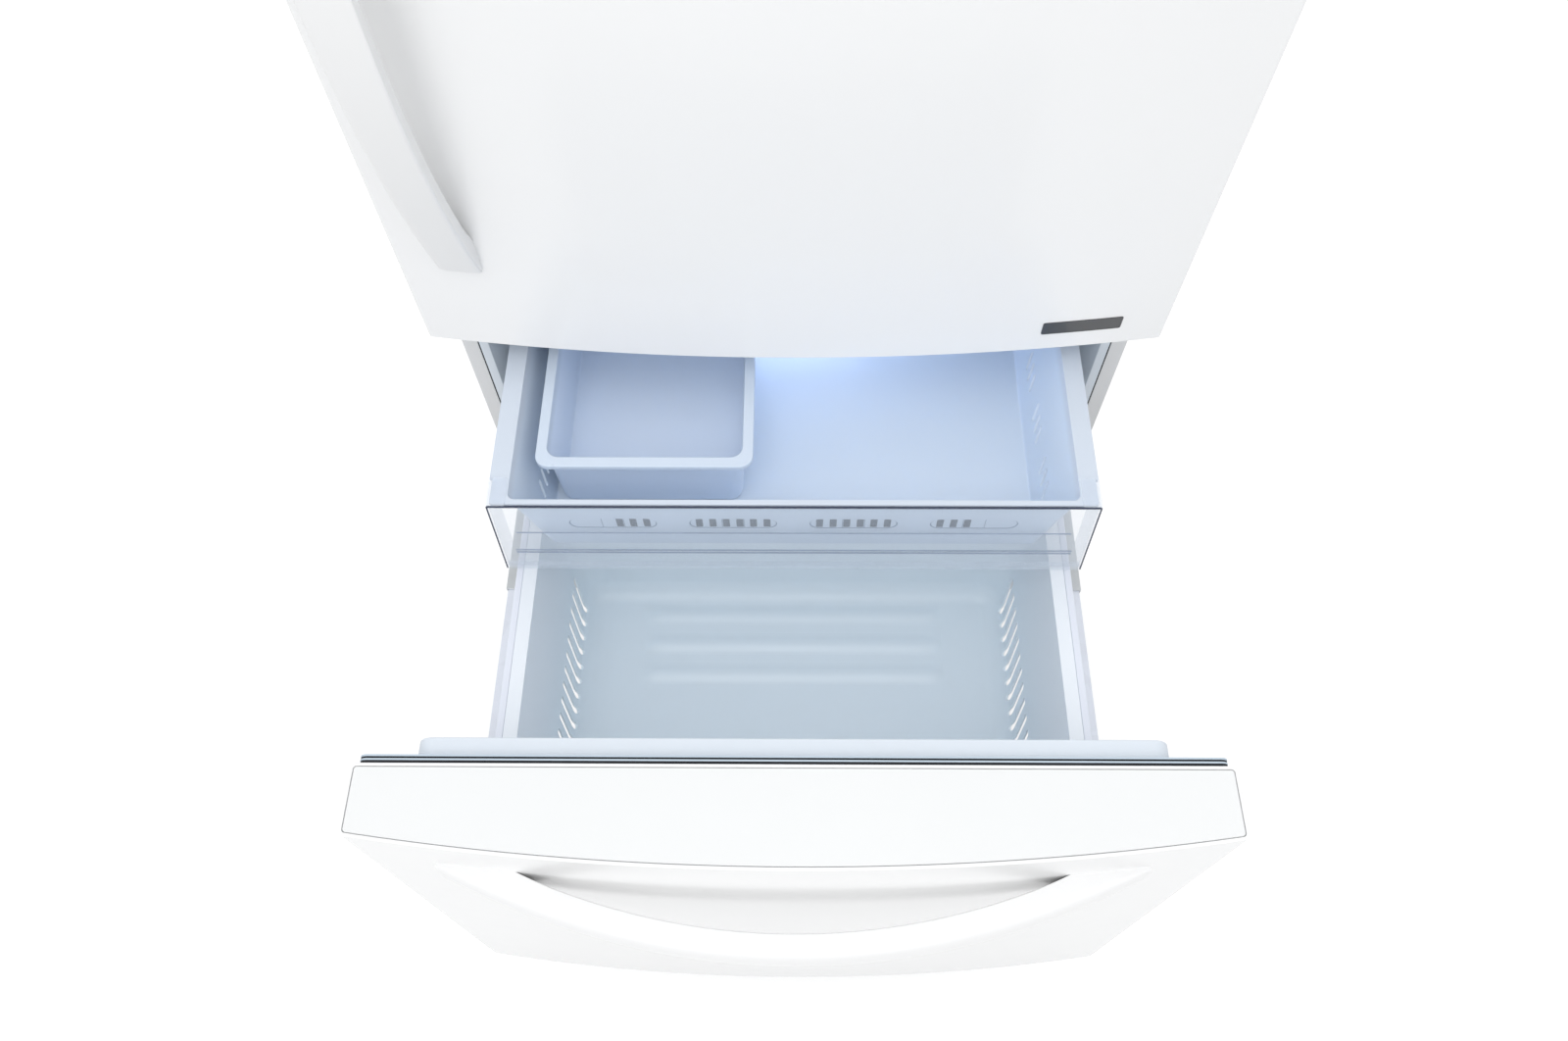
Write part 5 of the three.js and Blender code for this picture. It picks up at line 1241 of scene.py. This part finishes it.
@dataclass
class UpperDrawer:
    """The shallow drawer with its clear front cover."""

    body: Body = Body.UPPER_DRAWER
    half: float = 333.0
    y: Span = (109.3, 557.3)
    z: Span = (575.0, 682.0)
    rim: Span = (22.0, 6.0)
    lean: Span = (30.0, 5.0)
    wall: float = 2.5
    corner: float = 8.0
    floor_turn: float = 2.2
    lip: float = 6.0
    vent_spacing: float = 135.0
    vent_pitch: float = 15.2
    vent_z: float = 628.5
    vent_hole: Span = (3.9, 10.0)
    pill: Span = (99.0, 24.0)
    banks: tuple[tuple[float, int, int], ...] = ((-1.5, 0, 3), (-0.5, -3, 3), (0.5, -3, 3), (1.5, -3, 0))
    cover_half: float = 340.0
    cover_lean: float = 7.0
    cover_y: Span = (106.0, 142.0)
    cover_z: Span = (536.0, 680.0)
    cover_foot: float = 9.0
    cover_lines: tuple[tuple[float, float, float, Span], ...] = (
        (322.0, 3.2, 4.6, (568.8, 571.0)), (322.0, 3.2, 4.6, (574.8, 576.6)), (314.0, 5.0, 6.0, (613.0, 615.0)),
    )
    stroke_z: Span = (600.0, 623.0)
    stroke_width: float = 5.0
    stroke_turn: float = -33.0
    stroke_pivot: float = 612.0

    def build(self) -> None:
        """Makes the drawer, the painted shade in its air holes and recesses, and its cover."""
        self.build_tray()
        self.build_vent_shade()
        self.build_cover()

    def vents(self) -> list[Shape]:
        """Makes the cutters of the front wall's recesses and air holes.

        Returns:
            The cutters.
        """
        made = []
        for at, first, last in self.banks:
            middle = at * self.vent_spacing
            made.append(self.on_front(middle, (100.0, 116.5), 0.0).rounded(Axis.Y, self.pill[1] / 2 - 0.1, 8))
            made += self.holes(middle, range(first, last), (114.0, 117.3), 0.0, 3)
        return [shape.move(self.lean_back) for shape in made]

    def on_front(self, middle: float, y: Span, grow: float) -> Shape:
        """Makes a block of one recess's outline.

        Args:
            middle: The recess's place across.
            y: The block's near and far side.
            grow: How far the block reaches past the recess all round.

        Returns:
            The block.
        """
        wide, high = (size / 2 + grow for size in self.pill)
        return Shape.box((middle - wide, middle + wide), y, (self.vent_z - high, self.vent_z + high))

    def holes(self, middle: float, steps: range, y: Span, grow: float, segments: int) -> list[Shape]:
        """Makes a block for each air hole of one recess.

        Args:
            middle: The recess's place across.
            steps: The holes, counted from the recess's middle.
            y: The blocks' near and far side.
            grow: How far a block reaches past its hole all round.
            segments: Faces across the rounding of its corners.

        Returns:
            The blocks.
        """
        made = []
        wide, high = (half + grow for half in self.vent_hole)
        for i in steps:
            x = middle + (i + 0.5) * self.vent_pitch
            block = Shape.box((x - wide, x + wide), y, (self.vent_z - high, self.vent_z + high))
            made.append(block.rounded(Axis.Y, 1.2, segments))
        return made

    def lean_back(self, p: Vector) -> Vector:
        """Leans a point with the front wall."""
        p.y += (self.vent_z - p.z) * self.lean[1] / (self.z[1] - self.z[0])
        return p

    def build_vent_shade(self) -> None:
        """Makes near-black plates in the air holes as painted shade, and the grey-blue lines round and across the
        recesses; the line round each recess is painted shade along its edge.
        """
        hole_shades, lines = [], []
        wide, high = (size / 2 + 0.1 for size in self.pill)
        for at, first, last in self.banks:
            middle = at * self.vent_spacing
            hole_shades += self.holes(middle, range(first, last), (116.9, 117.4), 0.1, 2)
            lines.append(Shape.frame(
                (middle - wide, middle + wide), (116.3, 116.6), (self.vent_z - high, self.vent_z + high),
                1.5, high - 0.1,
            ))
            for x in (middle - 0.25 * wide, middle + 0.25 * wide):
                z = (self.vent_z - high + 1, self.vent_z + high - 1)
                lines.append(Shape.box((x - 0.4, x + 0.4), (116.35, 116.55), z))
        # The plates in the holes are painted shade, as is the line round each recess.
        for shapes, name, finish in ((hole_shades, "air_hole_screens", HOLE_SHADE), (lines, "recess_outlines", RECESS_SHADE_AND_LINES)):
            put(Shape.union(shapes).move(self.lean_back), name, self.body, finish, soft=0.0)

    def strokes(self) -> list[Shape]:
        """Makes the cutters of the slanted slots in the side walls.

        Returns:
            The cutters.
        """
        made = []
        high = self.stroke_width / 2
        for group in range(5):
            for step in (-1, 0, 1):
                y = self.y[0] + 78 + 76 * group + 16.5 * step
                for side in (-1, 1):
                    slot = Shape.box(sided(side, 271.0, 311.0), (y - high, y + high), self.stroke_z)
                    slot.rounded(Axis.X, high - 0.1, 3)
                    made.append(slot.turn(self.stroke_turn, Axis.X, (0.0, y, self.stroke_pivot)))
        return made

    def build_tray(self) -> None:
        """Makes the shallow drawer."""
        tray = Shape.tray(
            (-self.half, self.half), self.y, (self.z[0] + self.wall, self.z[1]), self.rim, self.lean,
            self.corner, self.floor_turn, self.lip,
        )
        clear = self.cover_half - self.cover_lean - 3.3
        corners = [Shape.box(sided(side, clear, 420.0), (100.0, 142.3), (570.0, 690.0)) for side in (-1, 1)]
        put(
            tray, "shallow_drawer", self.body, TRAY, stands_for=["upper_drawer"], wall=self.wall, soft=0.7,
            cutters=self.strokes() + corners + self.vents(),
        )

    def cover_side(self, z: float) -> float:
        """Gives the cover's half width at a height."""
        share = (z - self.cover_z[0]) / (self.cover_z[1] - self.cover_z[0])
        return self.cover_half - self.cover_lean * share

    def build_cover(self) -> None:
        """Makes the clear front cover, pale as painted reflection, with its returns and caps, and its cut edges in
        painted shade.
        """
        low, high = self.cover_z
        front, back = self.cover_y
        half = self.cover_half
        cover = Shape.box((-half, half), (front, back), (low, high))
        cover.move(lambda p: Vector((math.copysign(self.cover_side(p.z), p.x), p.y, p.z)))
        spare = [f for f in cover.bm.faces if f.normal.y > 0.9 or abs(f.normal.z) > 0.9]
        bmesh.ops.delete(cover.bm, geom=spare, context="FACES")
        cover.bevel([e for e in cover.bm.edges if not e.is_boundary], 2.0, 4)
        edge = [e for e in cover.rims() if all(v.co.z < low + 1 and v.co.y < front + 5 for v in e.verts)]
        foot = bmesh.ops.extrude_edge_only(cover.bm, edges=edge)["geom"]
        bmesh.ops.translate(cover.bm, verts=points_of(foot), vec=(0, self.cover_foot, 0))
        cover.outward()
        caps = []
        for side in (-1, 1):
            span = sided(side, self.half - 20.5, self.half + 0.2)
            cap = Shape.box(span, (front + 0.4, back), (high + 2.3, high + 3.9))
            caps.append(cap.rounded(Axis.Z, 1.5, 3))
        # The cover's pale blue is painted reflection.
        put(
            cover, "clear_front_cover", self.body, COVER_REFLECTION, stands_for=["upper_drawer_cover"], wall=2.6, soft=0.4,
            extras=caps,
        )
        self.build_edges()

    def build_edges(self) -> None:
        """Makes the cover's cut edges in dark navy and its two stiffening lines in grey-blue, both painted shade of
        the clear sheet.
        """
        low, high = self.cover_z
        front = self.cover_y[0]
        top = self.cover_side(high) - 0.6
        edges = Shape.box((-top, top), (front + 0.1, front + 2.5), (high - 1.6, high + 0.1))
        for side in (-1, 1):
            line = Shape.box(sided(side, top - 0.6, top + 0.9), (front, front + 1.6), (low, high))
            for vert in line.bm.verts:
                vert.co.x += math.copysign(self.cover_side(vert.co.z) - self.cover_side(high), vert.co.x)
            edges.join(line)
        # The edges' dark navy is painted shade.
        put(edges, "cover_cut_edges", self.body, CLEAR_EDGE_SHADE, soft=0.3)
        lines = [
            Shape.box((-half, half), (front + near, front + far), z) for half, near, far, z in self.cover_lines
        ]
        # The lines' grey-blue is painted shade.
        put(Shape.union(lines), "cover_lines", self.body, COVER_LINE_SHADE, soft=0.3)


@dataclass
class IceBin:
    """The ice bin, which slides sideways in the shallow drawer."""

    x: Span = (-288.0, -45.0)
    y: Span = (161.0, 451.0)
    z: Span = (580.3, 676.0)
    rim: Span = (12.0, 13.0)
    lean: Span = (5.0, 3.0)
    corner: float = 14.0
    floor_turn: float = 3.0
    lip: float = 7.0

    def build(self) -> None:
        """Makes the bin."""
        tray = Shape.tray(self.x, self.y, self.z, self.rim, self.lean, self.corner, self.floor_turn, self.lip)
        put(tray, "ice_tray_bin", Body.ICE_BIN, BIN, stands_for=["ice_bin"], wall=2.4, soft=1.4, segments=3)


# ---- The cabinet ------------------------------------------------------------------------------------


@dataclass
class Cabinet:
    """The case, its liners and what is fixed to them."""

    body: Body = Body.CABINET
    cavity_half: float = 372.0
    cavity_y: Span = (104.0, 750.0)
    cavity_z: Span = (140.0, 694.0)
    step: Span = (512.0, 378.0)
    screw_half: float = 398.0
    screw_low: float = 352.0
    screw_pitch: float = 266.0
    screw_top: float = 1715.0
    cover_screws: Span = (50.0, 312.0)
    ledge: tuple[Span, Span, Span] = ((315.0, 373.0), (146.0, 636.0), (663.7, 675.7))
    mouth: tuple[tuple[float, float, float, float], ...] = (
        (77.4, 384.0, 134.0, 695.0), (77.0, 385.0, 133.0, 695.2),
        (77.0, 395.2, 129.0, 695.9), (79.4, 395.4, 128.8, 696.0),
    )

    def build(self) -> None:
        """Dresses the cabinet's pieces."""
        dress(SHELL, "cabinet_shell", soft=1.0)
        self.build_foam()
        dress(LINING, "fridge_liner", soft=0.8, merge=False)
        self.build_freezer_lining()
        self.build_mouth_gap_shade()
        dress(LINING, "freezer_rear_panel", "fridge_air_duct", "control_panel", soft=1.0)
        dress(SHELL, "mullion_bar", soft=0.5)
        dress(ZINC, "base_frame", soft=0.4)
        dress(CAP, "base_grille", soft=0.5)
        dress(BLACK, "cord_inlet", soft=0.5)
        dress(CASTING, "compressor", soft=2.0)
        dress(COPPER, "condenser_coil", soft=0.3)
        dress(ALUMINIUM, "evaporator", soft=0.2)
        dress(LENS, "freezer_lamp", soft=0.6)
        dress(SHELF, "glass_shelf_lower", "glass_shelf_upper", "crisper_cover", soft=0.6)
        dress(ZINC, "top_hinge", "middle_hinge", soft=0.4)
        dress(CAP, "top_hinge_cover", soft=1.5)
        dress(ZINC, "outer_slide_left", "outer_slide_right", soft=0.4)
        dress(CLEAR, "crisper_left", "crisper_right", soft=0.8)
        dress(BLACK, "levelling_leg_left", "levelling_leg_right", "rear_roller_left", "rear_roller_right", soft=0.5)
        dress(BLACK, "evaporator_fan", "condenser_fan", soft=0.3)
        self.build_fixings()

    def build_fixings(self) -> None:
        """Makes the rear sheets with their screw holes and pressed grooves, and the screws in them."""
        out, pitch = self.screw_half, self.screw_pitch
        upper = [(side * out, self.screw_low + pitch * i) for side in (-1, 1) for i in range(6)]
        upper += [(x, self.screw_top) for x in (-pitch, 0.0, pitch)]
        lower = [(x, z) for x in (-out, 0.0, out) for z in self.cover_screws]
        groove = Shape.frame((-386.0, 386.0), (809.3, 812.0), (364.0, 1702.0), 2.4, 12.0)
        for name, node, finish, places, more in (
            ("rear_sheet", "rear_panel", SHELL, upper, [groove]),
            ("machine_cover", "compressor_cover", ZINC, lower, []),
        ):
            holes = [Shape.rod((x, 811.1, z), 7.5, 7.5, 4.2, 24) for x, z in places]
            put(Shape.of_node(node), name, self.body, finish, stands_for=[node], soft=0.2, cutters=holes + more)
        heads = []
        for x, z in upper + lower:
            head = Shape.rod((x, 809.2, z), 5.4, 4.6, 1.4, 18)
            head.sink(head.sink(head.faces_facing(BACKWARDS), 2.0, 0.0), 0.5, -0.6)
            heads.append(head)
        put(Shape.union(heads), "panel_screws", self.body, ZINC, soft=0.15)

    def build_foam(self) -> None:
        """Makes the foam, cut back behind the freezer's flared mouth."""
        foam = Shape.of_node("cabinet_foam")

        def cut_back(p: Vector) -> Vector:
            """Moves a point of the mouth's edge away from the lining.

            Args:
                p: The point.

            Returns:
                Its place.
            """
            if p.y < 81 and abs(p.x) < 380 and 130 < p.z < 700:
                p.x = math.copysign(389.0, p.x)
                if p.z < 200:
                    p.z = 130.6
            return p

        put(foam.move(cut_back), "foam_filling", self.body, FOAM, stands_for=["cabinet_foam"], soft=0.0)

    def build_mouth_gap_shade(self) -> None:
        """Makes near-black strips in the joint between the case's flange and the freezer's lining, coloured as
        painted shade of the gap there.
        """
        joint = Shape.frame((-397.3, 397.3), (78.3, 79.6), (126.9, 697.4), 5.0, 1.0)
        for side in (-1, 1):
            joint.join(Shape.box(sided(side, 396.5, 415.2), (76.75, 77.4), (706.2, 707.6)))
        # The strips' near-black colour is painted shade.
        put(joint, "freezer_mouth_joint", self.body, SEAL_GROOVE_SHADE, soft=0.0)

    def build_freezer_lining(self) -> None:
        """Makes the freezer's moulded lining: its cavity, the flared mouth, and the drawer's ledges."""
        near, back = self.cavity_y
        floor, ceiling = self.cavity_z
        step_y, step_z = self.step
        outline = [(near, floor), (step_y, floor), (step_y, step_z), (back, step_z), (back, ceiling), (near, ceiling)]
        made = Shape.prism(outline, Axis.X, (-self.cavity_half, self.cavity_half))
        front = [f for f in made.faces_facing(-BACKWARDS) if abs(f.calc_center_median().y - near) < 0.1]
        bmesh.ops.delete(made.bm, geom=front, context="FACES_ONLY")
        made.bevel([e for e in made.bm.edges if not e.is_boundary and e.calc_face_angle(0.0) > 1.0], 10.0, 5)
        for y, half, low, high in self.mouth:
            geom = bmesh.ops.extrude_edge_only(made.bm, edges=made.rims())["geom"]
            verts = points_of(geom)
            x_now = max(abs(v.co.x) for v in verts)
            low_now, high_now = min(v.co.z for v in verts), max(v.co.z for v in verts)
            for v in verts:
                v.co.x *= half / x_now
                v.co.z = low + (v.co.z - low_now) * (high - low) / (high_now - low_now)
                v.co.y = y
        made.inward()
        ledges = []
        for side in (-1, 1):
            ledge = Shape.box(sided(side, *self.ledge[0]), *self.ledge[1:])
            ledges.append(ledge.bevel(ledge.bm.edges[:], 2.0, 2))
        put(
            made, "freezer_lining", self.body, LINING, stands_for=["freezer_liner"], wall=2.4, soft=0.8,
            extras=ledges,
        )


# ---- The studio -------------------------------------------------------------------------------------


@dataclass
class Studio:
    """Camera, floor, world and lamps."""

    eye: tuple[float, float, float] = (0.0001, -0.9046, 1.7712)
    pitch: float = 60.656
    yaw: float = -0.945
    roll: float = -0.679
    lens: float = 26.778
    floor_half: float = 5.0
    lamps: tuple[tuple[str, tuple, tuple, float, float], ...] = (  # name, place, aim, size, watts
        ("key", (-0.3, -1.9, 3.7), (0.0, -0.35, 0.5), 2.0, 20.5),
        ("top", (0.0, -1.0, 3.4), (0.0, -0.45, 0.3), 1.6, 6.0),
        ("fill", (-1.4, -7.0, 2.8), (0.0, 0.0, 0.8), 3.0, 78.0),
        ("rear", (0.6, 3.2, 2.8), (0.0, 0.3, 0.9), 2.4, 14.0),
    )

    def build(self) -> None:
        """Makes the whole studio."""
        bpy.context.scene.view_settings.view_transform = "Standard"
        self.build_camera()
        self.build_floor()
        self.build_world()
        self.build_lamps()

    def build_camera(self) -> None:
        """Makes the camera at the photograph's angle."""
        data = bpy.data.cameras.new("camera")
        data.lens, data.sensor_width = self.lens, 36.0
        data.clip_start, data.clip_end = 0.01, 100.0
        camera = bpy.data.objects.new("camera", data)
        down, side, tilt = (math.radians(a) for a in (self.pitch, self.yaw, self.roll))
        ahead = Vector((math.sin(side) * math.cos(down), math.cos(side) * math.cos(down), -math.sin(down)))
        right = ahead.cross(Vector((0, 0, 1))).normalized()
        up = right.cross(ahead)
        across = right * math.cos(tilt) + up * math.sin(tilt)
        above = up * math.cos(tilt) - right * math.sin(tilt)
        turn = Matrix((across, above, -ahead)).transposed().to_4x4()
        camera.matrix_world = Matrix.Translation(Vector(self.eye)) @ turn
        bpy.context.scene.collection.objects.link(camera)
        bpy.context.scene.camera = camera

    def build_floor(self) -> None:
        """Makes the white floor, which keeps the object's shadow."""
        bm = bmesh.new()
        bmesh.ops.create_grid(bm, x_segments=1, y_segments=1, size=self.floor_half)
        mesh = bpy.data.meshes.new("floor")
        bm.to_mesh(mesh)
        bm.free()
        floor = bpy.data.objects.new("floor", mesh)
        floor.location.z = -0.0005
        bpy.context.scene.collection.objects.link(floor)
        paint = bpy.data.materials.new("floor_white")
        paint.use_nodes = True
        paint.node_tree.nodes.clear()
        wires = Wiring(paint.node_tree)
        matt = wires.add("BsdfDiffuse", Color=(0.42, 0.42, 0.42, 1.0))
        bright = wires.add("Emission", Color=(1.0, 1.0, 1.0, 1.0), Strength=0.68)
        both = wires.add("AddShader", i0=matt.outputs[0], i1=bright.outputs[0])
        mix = wires.add("MixShader", i0=wires.seen(), i1=matt.outputs[0], i2=both.outputs[0])
        end = wires.add("OutputMaterial")
        wires.join(mix.outputs[0], end.inputs["Surface"])
        mesh.materials.append(paint)

    def build_world(self) -> None:
        """Makes the pale surroundings."""
        world = bpy.data.worlds.new("surroundings")
        world.use_nodes = True
        world.node_tree.nodes.clear()
        wires = Wiring(world.node_tree)
        soft = wires.add("Background", Color=(0.98, 0.99, 1.0, 1.0), Strength=0.92)
        white = wires.add("Background", Color=(1.0, 1.0, 1.0, 1.0), Strength=1.0)
        mix = wires.add("MixShader", i0=wires.seen(), i1=soft.outputs[0], i2=white.outputs[0])
        end = wires.add("OutputWorld")
        wires.join(mix.outputs[0], end.inputs["Surface"])
        bpy.context.scene.world = world

    def build_lamps(self) -> None:
        """Makes the large soft lamps."""
        for name, place, aim, size, watts in self.lamps:
            data = bpy.data.lights.new(name, "AREA")
            data.shape, data.size, data.energy = "SQUARE", size, watts
            lamp = bpy.data.objects.new(name, data)
            lamp.location = place
            lamp.rotation_mode = "QUATERNION"
            lamp.rotation_quaternion = (Vector(aim) - Vector(place)).to_track_quat("-Z", "Y")
            bpy.context.scene.collection.objects.link(lamp)


def main() -> None:
    """Builds the studio and every sub-assembly in order."""
    logging.basicConfig(level=logging.INFO, format="%(name)s: %(message)s")
    Studio().build()
    for part in (Cabinet(), FridgeDoor(), FreezerDrawer(), UpperDrawer(), IceBin()):
        part.build()
        LOG.info("built %s", type(part).__name__)


if __name__ == "__main__":
    main()
